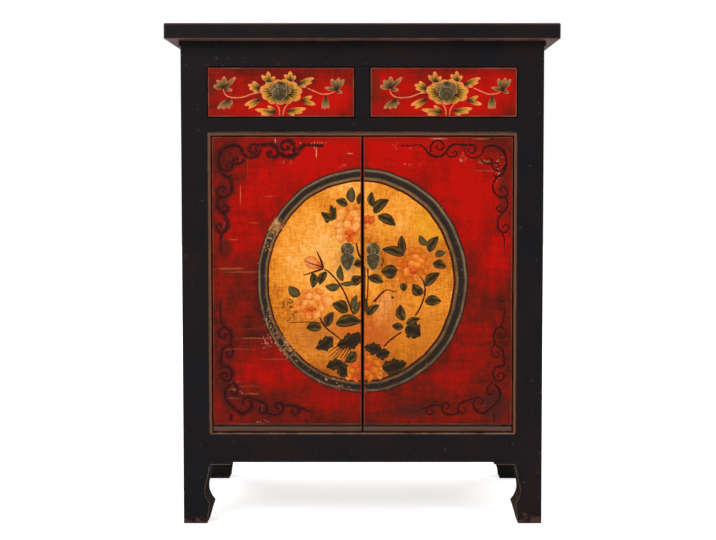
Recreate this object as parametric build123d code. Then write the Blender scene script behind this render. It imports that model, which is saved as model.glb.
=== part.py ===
from build123d import *
import math
import os

# A lacquered wedding cabinet: four posts with hoof feet, rails tenoned between them, a mitred top
# frame with a floating panel, two inset doors on wooden pivots and two inset drawers above them.
# Millimetres. X runs to the right, Y to the back, Z up. The origin is on the floor, under the middle
# of the top.

# ---- driving dimensions ------------------------------------------------------------------------

# overall
case_width = 650.0
case_depth = 370.0
total_height = 900.0
top_side_overhang = 25.0
top_front_overhang = 25.0
top_rear_overhang = 5.0

# top: a mitred frame with a stepped neck below its slab, and a panel let into it
slab_thickness = 28.0
neck_height = 10.0
neck_step = 2.5
top_arris = 3.0
slab_lower_arris = 1.5
top_panel_thickness = 14.0
top_tongue = 7.0
top_tongue_thickness = 6.0
top_batten_width = 36.0
top_batten_height = 20.0
top_batten_key = 4.0
top_batten_flare = 3.0

# posts, with a hoof foot cut on the two faces that look inwards
post_size = 47.0
post_arris = 2.0
foot_toe = 42.5
hoof_height = 37.0
hoof_waist = 39.2
hoof_waist_height = 54.0
hoof_corner_waist = 42.4
hoof_flare_slope = 0.7
hoof_fall = 6.0
hoof_curl = 4.4
calf_share = 0.45
post_tenon_near = 28.0
post_tenon_far = 42.0
post_tenon_tall = 18.0
post_tenon_short = 12.0

# rails, from the top of the case down
rail_thickness = 26.0
top_rail_height = 36.5
drawer_opening_height = 91.0
middle_rail_height = 25.7
apron_height = 53.5
leg_height = 112.0
apron_ear_drop = 4.0
apron_ear_length = 39.0
apron_ear_round = 3.9
side_top_rail_height = 45.0
rear_middle_rail_thickness = 22.0
divider_width = 26.0
rail_arris = 1.2

# joints of the frame
tenon_thickness = 10.0
tenon_length = 22.0
tenon_setback = 8.0
tenon_shoulder = 8.5
divider_tenon = 8.0
divider_tenon_width = 14.0
joint_fit = 0.15
socket_end_play = 0.5

# panels and boards of the case
panel_thickness = 10.0
panel_setback = 5.0
panel_groove = 8.0
panel_play = 0.5
panel_fit = 0.1
bottom_board_thickness = 12.0
bottom_board_below_rail = 6.0
shelf_thickness = 12.0
shelf_height = 431.0
shelf_front_setback = 57.0
cleat_width = 18.0
cleat_height = 20.0
board_play = 0.5

# door opening: a bead on three sides
bead_width = 6.0
bead_proud = 1.0
bead_round = 2.0

# doors
door_thickness = 18.0
door_side_gap = 2.0
door_top_gap = 2.0
door_bottom_gap = 3.0
door_meeting_gap = 3.5
door_arris = 1.2
door_batten_height = 12.0
door_batten_groove = 3.2
door_batten_groove_depth = 5.0
pivot_from_edge = 12.0
pivot_from_front = 7.0
pivot_radius = 4.5
pivot_in_door = 26.0
pivot_in_rail = 10.0
pivot_glue_fit = 0.05
pivot_running_fit = 0.09
pivot_end_play = 1.0
door_cleat_height = 40.0
door_cleat_thickness = 14.0
door_cleat_from_end = 70.0
door_cleat_from_side = 30.0
door_cleat_bevel = 4.0
stop_length = 120.0
stop_width = 12.0
stop_height = 15.0
stop_gap = 0.5

# drawers
drawer_front_thickness = 18.0
drawer_side_gap = 1.5
drawer_top_gap = 1.5
drawer_bottom_gap = 1.5
drawer_arris = 1.2
drawer_side_thickness = 10.0
drawer_side_height = 87.0
drawer_back_height = 70.0
drawer_back_housing = 4.0
drawer_back_inset = 8.0
drawer_rear_clearance = 0.5
drawer_floor_thickness = 6.0
drawer_floor_rise = 9.0
drawer_floor_groove = 5.0
dovetail_count = 3
dovetail_length = 12.0
dovetail_root = 11.0
dovetail_splay = 2.5

# what the drawers run on and under
runner_height = 18.0
runner_bearing_width = 22.0
runner_guide_width = 12.0
runner_guide_rise = 16.0
kicker_height = 18.0
runner_fit = 0.3

# pulls: a domed plate, a split staple through it, and a leaf-shaped drop that hangs in its eye
left_door_pull_x = -27.0
right_door_pull_x = 19.5
door_pull_height = 499.0
left_drawer_pull_x = -147.5
right_drawer_pull_x = 150.0
drawer_pull_above_centre = 7.0
plate_radius = 12.0
plate_dome = 4.2
plate_rim = 0.8
plate_sheet = 1.2
plate_hole = 2.4
eye_radius = 3.3
eye_wire = 1.2
staple_radius = 2.0
staple_hole = 2.3
staple_tip_length = 9.0
staple_tip_thickness = 1.6
staple_tip_width = 3.2
staple_tip_round = 1.5
eye_clearance = 0.3
drop_thickness = 2.4
drop_dome = 1.0
drop_bridge = 1.3
drop_bridge_front = 1.1
drop_eye_half_width = 1.75
drop_eye_half_height = 1.9
drop_belly = 0.5
drop_point_width = 0.42
drop_point_rise = 0.06
door_drop_width = 24.4
door_drop_top = -7.0
door_drop_length = 31.0
door_drop_shoulder = 0.24
door_drop_lug = 4.6
drop_neck = 1.7
drawer_drop_width = 27.0
drawer_drop_length = 25.0
drawer_drop_shoulder = 0.4

# ---- levels and planes worked out from them ------------------------------------------------------

case_top = total_height - slab_thickness - neck_height
drawer_top_z = case_top - top_rail_height
drawer_floor_z = drawer_top_z - drawer_opening_height
door_top_z = drawer_floor_z - middle_rail_height
apron_z = leg_height
door_floor_z = apron_z + apron_height

half_width = case_width / 2
half_top = half_width + top_side_overhang
top_depth = case_depth + top_front_overhang + top_rear_overhang
top_front_y = -top_depth / 2
top_rear_y = top_depth / 2
front_y = top_front_y + top_front_overhang
rear_y = top_rear_y - top_rear_overhang
inner_x = half_width - post_size
inner_front_y = front_y + post_size
inner_rear_y = rear_y - post_size
rail_inner_x = half_width - rail_thickness
rail_back_y = front_y + rail_thickness
rear_rail_front_y = rear_y - rail_thickness
panel_outer_x = half_width - panel_setback
panel_inner_x = panel_outer_x - panel_thickness
back_panel_rear_y = rear_y - panel_setback
back_panel_front_y = back_panel_rear_y - panel_thickness
side_top_rail_z = case_top - side_top_rail_height
rear_middle_y = back_panel_front_y - panel_fit

door_width = inner_x - bead_width - door_side_gap - door_meeting_gap / 2
door_low_z = door_floor_z + door_bottom_gap
door_high_z = door_top_z - bead_width - door_top_gap
door_back_y = front_y + door_thickness
door_seam_x = door_meeting_gap / 2
pivot_x = door_seam_x + door_width - pivot_from_edge
pivot_y = front_y + pivot_from_front

drawer_low_z = drawer_floor_z + drawer_bottom_gap
drawer_high_z = drawer_top_z - drawer_top_gap
drawer_back_y = front_y + drawer_front_thickness
drawer_rear_y = back_panel_front_y - drawer_rear_clearance
drawer_side_low_z = drawer_floor_z + runner_fit
drawer_side_high_z = drawer_side_low_z + drawer_side_height
drawer_outer_x = inner_x - drawer_side_gap
drawer_inner_x = divider_width / 2 + drawer_side_gap
drawer_pull_z = (drawer_low_z + drawer_high_z) / 2 + drawer_pull_above_centre

eye_out = plate_dome + plate_rim + eye_radius + eye_wire + eye_clearance


def block(x0, x1, y0, y1, z0, z1):
    """A box between two corners."""
    corner = (Align.MIN, Align.MIN, Align.MIN)
    return Pos(x0, y0, z0) * Box(x1 - x0, y1 - y0, z1 - z0, align=corner)


def grown(x0, x1, y0, y1, z0, z1, fit, end_play=0.0, along="X"):
    """The socket for a box-shaped tenon: wider by the fit all round, deeper by the end play."""
    dx = end_play if along == "X" else fit
    dy = end_play if along == "Y" else fit
    dz = end_play if along == "Z" else fit
    return block(x0 - dx, x1 + dx, y0 - dy, y1 + dy, z0 - dz, z1 + dz)


def edges_at(shape, axis, **place):
    """The edges along one axis whose middle lies at the given coordinates."""
    found = []
    for edge in shape.edges().filter_by(axis):
        middle = edge.center()
        if all(abs(getattr(middle, name) - value) < 0.01 for name, value in place.items()):
            found.append(edge)
    return found


def mirrored(shape):
    """The same piece on the other side of the cabinet."""
    return mirror(shape, about=Plane.YZ)


# ---- rails: each has a tenon at both ends, and the posts have the sockets ---------------------------

tenons = []


def cross_rail(y0, y1, z0, z1, tenon_y0):
    """A rail from left to right, with its tenons."""
    rail = block(-inner_x, inner_x, y0, y1, z0, z1)
    tenon_y1 = tenon_y0 + tenon_thickness
    for x0, x1 in ((-inner_x - tenon_length, -inner_x), (inner_x, inner_x + tenon_length)):
        span = (x0, x1, tenon_y0, tenon_y1, z0 + tenon_shoulder, z1 - tenon_shoulder)
        rail += block(*span)
        tenons.append(grown(*span, joint_fit, socket_end_play, "X"))
    return rail


def side_rail(z0, z1):
    """A rail from front to back on the right side, with its tenons."""
    rail = block(rail_inner_x, half_width, inner_front_y, inner_rear_y, z0, z1)
    tenon_x1 = half_width - tenon_setback
    tenon_x0 = tenon_x1 - tenon_thickness
    ends = ((inner_front_y - tenon_length, inner_front_y), (inner_rear_y, inner_rear_y + tenon_length))
    for y0, y1 in ends:
        span = (tenon_x0, tenon_x1, y0, y1, z0 + tenon_shoulder, z1 - tenon_shoulder)
        rail += block(*span)
        socket = grown(*span, joint_fit, socket_end_play, "Y")
        tenons.append(socket)
        tenons.append(mirrored(socket))
    return rail


def ear_cut(length_from, length_to, low_z):
    """What is cut away below an apron between its two ears: a flat band with rounded ends."""
    cut = Rectangle(length_to - length_from, 2 * apron_ear_drop)
    cut = fillet(cut.vertices().filter_by_position(Axis.Y, 0, apron_ear_drop), apron_ear_round)
    return Pos((length_from + length_to) / 2, low_z) * cut


def panel_groove_box(x0, x1, y0, y1, z0, z1, flat):
    """The groove round a panel: its box grown by the play, and by the fit across the panel."""
    dx = panel_fit if flat == "X" else panel_play
    dy = panel_fit if flat == "Y" else panel_play
    return block(x0 - dx, x1 + dx, y0 - dy, y1 + dy, z0 - panel_play, z1 + panel_play)


# ---- panels of the sides and the back ---------------------------------------------------------------

panel_reach = panel_groove - panel_play
side_panel_span = (
    panel_inner_x,
    panel_outer_x,
    inner_front_y - panel_reach,
    inner_rear_y + panel_reach,
    door_floor_z - panel_reach,
    side_top_rail_z + panel_reach,
)
back_panel_span = (
    -inner_x - panel_reach,
    inner_x + panel_reach,
    back_panel_front_y,
    back_panel_rear_y,
    door_floor_z - panel_reach,
    drawer_top_z + panel_reach,
)
side_groove = panel_groove_box(*side_panel_span, "X")
back_groove = panel_groove_box(*back_panel_span, "Y")
panel_grooves = [side_groove, mirrored(side_groove), back_groove]

# the bottom board lies in a groove in the four lower rails and is notched round the posts
board_z1 = door_floor_z - bottom_board_below_rail
board_z0 = board_z1 - bottom_board_thickness
board_reach = panel_groove - board_play
board_span = (
    -rail_inner_x - board_reach,
    rail_inner_x + board_reach,
    rail_back_y - board_reach,
    rear_rail_front_y + board_reach,
    board_z0,
    board_z1,
)
board_groove = block(
    board_span[0] - board_play,
    board_span[1] + board_play,
    board_span[2] - board_play,
    board_span[3] + board_play,
    board_z0 - panel_fit,
    board_z1 + panel_fit,
)

# ---- front frame ------------------------------------------------------------------------------------

front_tenon_y = front_y + tenon_setback
rear_tenon_y = rear_y - tenon_setback - tenon_thickness

front_top_rail = cross_rail(front_y, rail_back_y, drawer_top_z, case_top, front_tenon_y)
front_middle_rail = cross_rail(front_y, rail_back_y, door_top_z, drawer_floor_z, front_tenon_y)
apron = cross_rail(front_y, rail_back_y, apron_z - apron_ear_drop, door_floor_z, front_tenon_y)
rear_top_rail = cross_rail(rear_rail_front_y, rear_y, drawer_top_z, case_top, rear_tenon_y)
rear_bottom_rail = cross_rail(rear_rail_front_y, rear_y, apron_z, door_floor_z, rear_tenon_y)
rear_middle_tenon_y = rear_middle_y - (rear_middle_rail_thickness + tenon_thickness) / 2
rear_middle_rail = cross_rail(
    rear_middle_y - rear_middle_rail_thickness,
    rear_middle_y,
    door_top_z,
    drawer_floor_z,
    rear_middle_tenon_y,
)
right_top_rail = side_rail(side_top_rail_z, case_top)
right_bottom_rail = side_rail(apron_z - apron_ear_drop, door_floor_z)

# the aprons at the front and sides drop a little beside each post
front_ears = ear_cut(-inner_x + apron_ear_length, inner_x - apron_ear_length, apron_z - apron_ear_drop)
apron -= extrude(Plane.XZ * front_ears, amount=case_depth, both=True)
side_ears = ear_cut(
    inner_front_y + apron_ear_length, inner_rear_y - apron_ear_length, apron_z - apron_ear_drop
)
right_bottom_rail -= extrude(Plane.YZ * side_ears, amount=case_width)

# the edges round the openings are softened, before the divider's sockets cut into them
front_top_rail = fillet(edges_at(front_top_rail, Axis.X, Y=front_y, Z=drawer_top_z), rail_arris)
middle_edges = edges_at(front_middle_rail, Axis.X, Y=front_y, Z=drawer_floor_z)
front_middle_rail = fillet(middle_edges, rail_arris)
apron_edges = edges_at(apron, Axis.X, Y=front_y, Z=door_floor_z)
apron_edges += edges_at(apron, Axis.X, Y=front_y, Z=apron_z)
apron = fillet(apron_edges, rail_arris)

# the divider between the drawers stands between two rails on stub tenons
divider = block(-divider_width / 2, divider_width / 2, front_y, rail_back_y, drawer_floor_z, drawer_top_z)
divider = fillet(edges_at(divider, Axis.Z, Y=front_y), rail_arris)
divider_low_tenon = (
    -divider_tenon_width / 2,
    divider_tenon_width / 2,
    front_tenon_y,
    front_tenon_y + tenon_thickness,
    drawer_floor_z - divider_tenon,
    drawer_floor_z,
)
divider_high_tenon = divider_low_tenon[:4] + (drawer_top_z, drawer_top_z + divider_tenon)
divider += block(*divider_low_tenon) + block(*divider_high_tenon)
front_middle_rail -= grown(*divider_low_tenon, joint_fit, socket_end_play, "Z")
front_top_rail -= grown(*divider_high_tenon, joint_fit, socket_end_play, "Z")

apron -= board_groove
rear_bottom_rail -= board_groove + back_groove
rear_top_rail -= back_groove
right_bottom_rail -= board_groove + side_groove
right_top_rail -= side_groove
left_top_rail = mirrored(right_top_rail)
left_bottom_rail = mirrored(right_bottom_rail)

# ---- posts ------------------------------------------------------------------------------------------


def hoof_outline(waist, tip, tip_height):
    """One face of a post, from its outer edge: waisted above the foot, flared, then tapered."""
    inner_edge = Spline(
        (post_size, apron_z),
        (post_size - calf_share * (post_size - waist), (apron_z + hoof_waist_height) / 2),
        (waist, hoof_waist_height),
        (tip, tip_height),
        tangents=[(0, -1), (hoof_flare_slope, -1)],
    )
    rest = Polyline(
        inner_edge @ 1,
        (foot_toe, 0),
        (0, 0),
        (0, case_top),
        (post_size, case_top),
        (post_size, apron_z),
    )
    return make_face(inner_edge + rest)


def post_blank():
    """A post with its outer corner on the Z axis, its hoof curled out and down to the inner corner."""
    hoof_reach = post_size + hoof_curl
    outer_outline = hoof_outline(hoof_waist, post_size, hoof_height)
    corner_outline = hoof_outline(hoof_corner_waist, hoof_reach, hoof_height - hoof_fall)
    shaped = loft([Plane.XZ * outer_outline, Plane.XZ.offset(-hoof_reach) * corner_outline], ruled=True)
    shaped &= loft([Plane.YZ * outer_outline, Plane.YZ.offset(hoof_reach) * corner_outline], ruled=True)
    shaped = fillet(edges_at(shaped, Axis.Z, X=0, Y=0), post_arris)
    return shaped


def top_tenons():
    """The tall tenon for the long member of the top frame and the short one for the end member."""
    near, far = post_tenon_near, post_tenon_far
    low, high = tenon_setback, tenon_setback + tenon_thickness
    tall = (near, far, low, high, case_top, case_top + post_tenon_tall)
    short = (low, high, near, far, case_top, case_top + post_tenon_short)
    return tall, short


corner_tenons = sum((block(*span) for span in top_tenons()), start=Part())
corner_sockets = Part()
for span in top_tenons():
    corner_sockets += grown(*span, joint_fit, socket_end_play, "Z")
rail_sockets = Part() + tenons + panel_grooves
front_corner = Pos(-half_width, front_y, 0)
rear_corner = Pos(-half_width, rear_y, 0)
blank = post_blank()
front_left_post = front_corner * (blank + corner_tenons) - rail_sockets
rear_left_post = rear_corner * mirror(blank + corner_tenons, about=Plane.XZ) - rail_sockets
front_right_post = mirrored(front_left_post)
rear_right_post = mirrored(rear_left_post)

# ---- top frame, panel and batten --------------------------------------------------------------------

slab = block(-half_top, half_top, top_front_y, top_rear_y, total_height - slab_thickness, total_height)
slab += block(
    -half_width - neck_step,
    half_width + neck_step,
    front_y - neck_step,
    rear_y + neck_step,
    case_top,
    case_top + neck_height,
)
slab -= block(-inner_x, inner_x, inner_front_y, inner_rear_y, case_top, total_height)
tongue_z0 = total_height - top_panel_thickness
tongue_span = (
    -inner_x - top_tongue,
    inner_x + top_tongue,
    inner_front_y - top_tongue,
    inner_rear_y + top_tongue,
    tongue_z0,
    tongue_z0 + top_tongue_thickness,
)
slab -= block(
    tongue_span[0] - panel_play,
    tongue_span[1] + panel_play,
    tongue_span[2] - panel_play,
    tongue_span[3] + panel_play,
    tongue_z0 - panel_fit,
    tongue_z0 + top_tongue_thickness + panel_fit,
)
left_sockets = front_corner * corner_sockets + rear_corner * mirror(corner_sockets, about=Plane.XZ)
slab -= left_sockets + mirrored(left_sockets)

# the mitres run from the outer corners of the slab to the inner corners of the opening
outer_corners = [
    (-half_top, top_front_y),
    (half_top, top_front_y),
    (half_top, top_rear_y),
    (-half_top, top_rear_y),
]
inner_corners = [
    (-inner_x, inner_front_y),
    (inner_x, inner_front_y),
    (inner_x, inner_rear_y),
    (-inner_x, inner_rear_y),
]


def frame_member(corner, axis, **outer_face):
    """One mitred member of the top frame, between a corner and the next one round."""
    after = (corner + 1) % 4
    plan = Polyline(
        outer_corners[corner],
        outer_corners[after],
        inner_corners[after],
        inner_corners[corner],
        close=True,
    )
    prism = extrude(Pos(0, 0, case_top) * make_face(plan), amount=slab_thickness + neck_height)
    member = slab & prism
    member = fillet(edges_at(member, axis, Z=total_height, **outer_face), top_arris)
    lower = edges_at(member, axis, Z=total_height - slab_thickness, **outer_face)
    return fillet(lower, slab_lower_arris)


top_frame_front = frame_member(0, Axis.X, Y=top_front_y)
top_frame_right = frame_member(1, Axis.Y, X=half_top)
top_frame_rear = frame_member(2, Axis.X, Y=top_rear_y)
top_frame_left = mirrored(top_frame_right)

top_panel = block(
    -inner_x + panel_fit,
    inner_x - panel_fit,
    inner_front_y + panel_fit,
    inner_rear_y - panel_fit,
    tongue_z0,
    total_height,
)
top_panel += block(*tongue_span)


def batten_key(fit):
    """The dovetailed key on the batten, or with a fit the housing for it in the panel."""
    root = top_batten_width / 2 - top_batten_flare + fit
    crown = top_batten_width / 2 + fit
    rise = top_batten_key + fit
    key = Polyline((-root, 0), (root, 0), (crown, rise), (-crown, rise), close=True)
    length = inner_rear_y - inner_front_y + 2 * (top_tongue if fit else -panel_fit)
    middle_y = (inner_rear_y + inner_front_y) / 2
    return Pos(0, middle_y, tongue_z0) * extrude(Plane.XZ * make_face(key), amount=length / 2, both=True)


top_panel -= batten_key(panel_fit)
top_panel_batten = batten_key(0.0) + block(
    -top_batten_width / 2,
    top_batten_width / 2,
    inner_front_y + panel_fit,
    inner_rear_y - panel_fit,
    tongue_z0 - top_batten_height,
    tongue_z0 - panel_fit,
)
top_panel_batten += block(
    -top_batten_width / 2 + top_batten_flare,
    top_batten_width / 2 - top_batten_flare,
    inner_front_y + panel_fit,
    inner_rear_y - panel_fit,
    tongue_z0 - panel_fit,
    tongue_z0,
)

# ---- boards inside the case -------------------------------------------------------------------------

post_notches = Part()
for x0 in (-half_width, inner_x):
    for y0 in (front_y, inner_rear_y):
        post_notches += block(
            x0 - board_play,
            x0 + post_size + board_play,
            y0 - board_play,
            y0 + post_size + board_play,
            0,
            case_top,
        )
bottom_board = block(*board_span) - post_notches
shelf = block(
    -panel_inner_x + board_play,
    panel_inner_x - board_play,
    front_y + shelf_front_setback,
    back_panel_front_y - board_play,
    shelf_height,
    shelf_height + shelf_thickness,
)
shelf -= post_notches
shelf = fillet(edges_at(shelf, Axis.X, Y=front_y + shelf_front_setback), door_arris)
right_cleat = block(
    panel_inner_x - cleat_width,
    panel_inner_x,
    inner_front_y,
    inner_rear_y,
    shelf_height - cleat_height,
    shelf_height,
)
right_cleat = chamfer(
    edges_at(right_cleat, Axis.Y, X=panel_inner_x - cleat_width, Z=shelf_height - cleat_height),
    cleat_width / 3,
)
shelf_cleats = right_cleat + mirrored(right_cleat)

# ---- drawer runners, with their guides, and the kickers above ---------------------------------------

rear_middle_front_y = rear_middle_y - rear_middle_rail_thickness
runner_z0 = drawer_floor_z - runner_height
guide_z1 = drawer_floor_z + runner_guide_rise
right_drawer_runner = block(
    drawer_outer_x - runner_bearing_width,
    inner_x - runner_fit,
    rail_back_y,
    rear_middle_front_y,
    runner_z0,
    drawer_floor_z,
)
right_drawer_runner += block(
    inner_x - runner_fit,
    inner_x + runner_guide_width,
    inner_front_y,
    inner_rear_y,
    runner_z0,
    guide_z1,
)
side_drawer_runners = right_drawer_runner + mirrored(right_drawer_runner)
centre_half = drawer_inner_x + runner_bearing_width
centre_drawer_runner = block(
    -centre_half, centre_half, rail_back_y, rear_middle_front_y, runner_z0, drawer_floor_z
)
centre_drawer_runner += block(
    -divider_width / 2, divider_width / 2, rail_back_y, rear_middle_front_y, drawer_floor_z, guide_z1
)
kicker_z = (drawer_top_z, drawer_top_z + kicker_height)
side_kicker = block(
    drawer_outer_x - runner_bearing_width, inner_x - runner_fit, rail_back_y, rear_rail_front_y, *kicker_z
)
drawer_kickers = block(-centre_half, centre_half, rail_back_y, rear_rail_front_y, *kicker_z)
drawer_kickers += side_kicker + mirrored(side_kicker)

# ---- bead round the door opening, door stops --------------------------------------------------------

bead_back_y = door_back_y
bead_front_y = front_y - bead_proud


def bead_strip(x0, x1, z0, z1):
    """One strip of the bead, its two front edges rounded."""
    strip = block(x0, x1, bead_front_y, bead_back_y, z0, z1)
    axis = Axis.X if x1 - x0 > z1 - z0 else Axis.Z
    return fillet(edges_at(strip, axis, Y=bead_front_y), bead_round)


right_mitre = Polyline(
    (inner_x - bead_width, door_floor_z),
    (inner_x, door_floor_z),
    (inner_x, door_top_z),
    (inner_x - bead_width, door_top_z - bead_width),
    close=True,
)
right_bead_half = extrude(Plane.XZ * make_face(right_mitre), amount=case_depth, both=True)
right_bead = bead_strip(inner_x - bead_width, inner_x, door_floor_z, door_top_z) & right_bead_half
top_bead = bead_strip(-inner_x, inner_x, door_top_z - bead_width, door_top_z)
mitre_gap = Pos(-joint_fit, 0, 0) * right_bead_half
top_bead -= mitre_gap + mirrored(mitre_gap)
pivot_swing_hole = Pos(pivot_x, pivot_y, 0) * Cylinder(
    pivot_radius + pivot_running_fit,
    pivot_in_rail + pivot_end_play,
    align=(Align.CENTER, Align.CENTER, Align.MIN),
)
rail_hole = Pos(0, 0, door_top_z) * pivot_swing_hole
bead_hole = Pos(0, 0, door_top_z - bead_width - 1) * pivot_swing_hole
apron_hole = Pos(0, 0, door_floor_z - pivot_in_rail - pivot_end_play) * pivot_swing_hole
front_middle_rail -= rail_hole + mirrored(rail_hole)
top_bead -= bead_hole + mirrored(bead_hole)
apron -= apron_hole + mirrored(apron_hole)
door_bead = right_bead + mirrored(right_bead) + top_bead

stop_y0 = door_back_y + stop_gap
door_stops = Part()
for z0 in (door_floor_z, door_top_z - stop_height):
    door_stops += block(
        -stop_length / 2, stop_length / 2, stop_y0, stop_y0 + stop_width, z0, z0 + stop_height
    )

# ---- pulls, drawn on a plane that looks out of the board they are fixed to ---------------------------


def on_face(x, z):
    """A plane on the front of the cabinet: its X to the right, its Y up, its Z outwards."""
    return Plane(origin=(x, front_y, z), x_dir=(1, 0, 0), z_dir=(0, -1, 0))


def dome_rise(radius, dome, r):
    """Height of a spherical dome above its rim at radius r."""
    sphere = (radius**2 + dome**2) / (2 * dome)
    return math.sqrt(sphere**2 - r**2) - (sphere - dome)


def pull_plate():
    """A domed washer of sheet metal, standing on its rim."""
    inner_radius = plate_radius - plate_sheet
    middle = plate_radius / 2
    outer = ThreePointArc(
        (plate_hole, plate_rim + dome_rise(plate_radius, plate_dome, plate_hole)),
        (middle, plate_rim + dome_rise(plate_radius, plate_dome, middle)),
        (plate_radius, plate_rim),
    )
    under = ThreePointArc(
        (inner_radius, 0),
        (middle, dome_rise(inner_radius, plate_dome - plate_sheet + plate_rim, middle)),
        (plate_hole, dome_rise(inner_radius, plate_dome - plate_sheet + plate_rim, plate_hole)),
    )
    rim = Polyline(outer @ 1, (plate_radius, 0), under @ 0)
    section = make_face(outer + rim + under + Line(under @ 1, outer @ 0))
    return revolve(Plane.XZ * section, Axis.Z)


def pull_staple(board):
    """A split staple: an eye in front, a shank through the board, two tips clenched behind it."""
    eye = Pos(0, 0, eye_out) * Rot(0, 90, 0) * Torus(eye_radius, eye_wire)
    shank_top = eye_out - eye_radius
    shank = Pos(0, 0, -board) * Cylinder(
        staple_radius, shank_top + board, align=(Align.CENTER, Align.CENTER, Align.MIN)
    )
    # the shank stops short of the eye's opening
    shank -= Pos(0, 0, eye_out) * Rot(0, 90, 0) * Cylinder(eye_radius, 4 * staple_radius)
    tips = Pos(0, 0, -board - staple_tip_thickness / 2) * Box(
        staple_tip_width, 2 * staple_tip_length, staple_tip_thickness
    )
    tips = fillet(tips.edges().filter_by(Axis.Z), staple_tip_round)
    return eye + shank + tips


def drop_outline(width, top, length, shoulder):
    """A leaf: a half ellipse above, and two sides that close in to a blunt point below."""
    half = width / 2
    widest = top - shoulder * length
    point = top - length
    below = widest - point
    belly = widest - drop_belly * below
    nib_x = drop_point_width * half
    nib_y = point + drop_point_rise * below
    upper = EllipticalCenterArc((0, widest), half, shoulder * length, arc_size=180)
    left = Bezier((-half, widest), (-half, belly), (-nib_x, nib_y), (0, point))
    right = Bezier((0, point), (nib_x, nib_y), (half, belly), (half, widest))
    return make_face(upper + left + right)


def pull_drop(width, top, length, shoulder, lug):
    """The drop, as it hangs: a leaf with a domed front and an eye that the staple passes through."""
    front = drop_thickness / 2 + drop_dome
    outline = drop_outline(width, top, length, shoulder)
    leaf = extrude(outline, amount=front) + extrude(outline, amount=-drop_thickness / 2)
    dome = (length**2 + 4 * drop_dome**2) / (8 * drop_dome)
    leaf &= Pos(0, top - length / 2, front - dome) * Sphere(dome)
    if lug:
        ring = Pos(0, drop_bridge - lug) * Circle(lug)
        neck = Pos(0, top - lug) * Rectangle(drop_neck * lug, 2 * lug)
        leaf += extrude(ring + neck, amount=drop_thickness / 2, both=True)
    eye = Pos(0, -drop_bridge - drop_eye_half_height) * Ellipse(drop_eye_half_width, drop_eye_half_height)
    leaf -= extrude(eye, amount=2 * front, both=True)
    # the bridge above the eye is thinned so that it turns inside the staple
    low = (Align.CENTER, Align.CENTER, Align.MIN)
    thinned = Box(3 * eye_wire, 4 * drop_bridge, 2 * drop_thickness, align=low)
    bridge = Pos(0, 0, drop_bridge_front) * thinned
    return Pos(0, 0, eye_out) * (leaf - bridge)


staple_bore = Cylinder(staple_hole, 4 * door_thickness)


# ---- doors ------------------------------------------------------------------------------------------


def right_door():
    """The right door: panel, bottom batten with a groove above it, back cleats and pivots."""
    x0, x1 = door_seam_x, door_seam_x + door_width
    split_z = door_low_z + door_batten_height
    panel = block(x0, x1, front_y, door_back_y, split_z, door_high_z)
    panel = fillet(panel.faces().sort_by(Axis.Y)[0].edges(), door_arris)
    groove_low_z = split_z - door_batten_groove
    batten = block(x0, x1, front_y, door_back_y, door_low_z, groove_low_z)
    batten = fillet(batten.faces().sort_by(Axis.Y)[0].edges(), door_arris)
    batten += block(x0, x1, front_y + door_batten_groove_depth, door_back_y, groove_low_z, split_z)

    glued = pivot_radius + pivot_glue_fit
    seat = Cylinder(glued, pivot_in_door, align=(Align.CENTER, Align.CENTER, Align.MIN))
    upper_seat = Pos(pivot_x, pivot_y, door_high_z - pivot_in_door) * seat
    lower_seat = Pos(pivot_x, pivot_y, door_low_z) * seat
    panel -= upper_seat + lower_seat
    batten -= lower_seat

    upper_length = pivot_in_door + door_top_gap + bead_width + pivot_in_rail
    lower_length = pivot_in_door + door_bottom_gap + pivot_in_rail
    upper = Pos(pivot_x, pivot_y, door_high_z - pivot_in_door) * extrude(
        Circle(pivot_radius), amount=upper_length
    )
    lower_z = door_floor_z - pivot_in_rail
    lower = Pos(pivot_x, pivot_y, lower_z) * extrude(Circle(pivot_radius), amount=lower_length)
    pivots = upper + lower

    cleats = Part()
    for z0 in (split_z + door_cleat_from_end, door_high_z - door_cleat_from_end - door_cleat_height):
        cleat = block(
            x0 + door_cleat_from_side,
            x1 - door_cleat_from_side,
            door_back_y,
            door_back_y + door_cleat_thickness,
            z0,
            z0 + door_cleat_height,
        )
        cleats += chamfer(cleat.faces().sort_by(Axis.Y)[-1].edges(), door_cleat_bevel)
    return {"panel": panel, "bottom_batten": batten, "back_cleats": cleats, "pivots": pivots}


# ---- drawers ----------------------------------------------------------------------------------------


def tails(fit):
    """The row of dovetails at the front of a drawer side, as a face in the side's plane."""
    pitch = (drawer_high_z - drawer_low_z) / dovetail_count
    row = Sketch()
    for i in range(dovetail_count):
        z = drawer_low_z + (i + 0.5) * pitch
        root = dovetail_root / 2 + fit
        tip = root + dovetail_splay
        front = drawer_back_y - dovetail_length - fit
        tail = Polyline(
            (drawer_back_y, z - root),
            (front, z - tip),
            (front, z + tip),
            (drawer_back_y, z + root),
            close=True,
        )
        row += make_face(tail)
    return row


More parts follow.
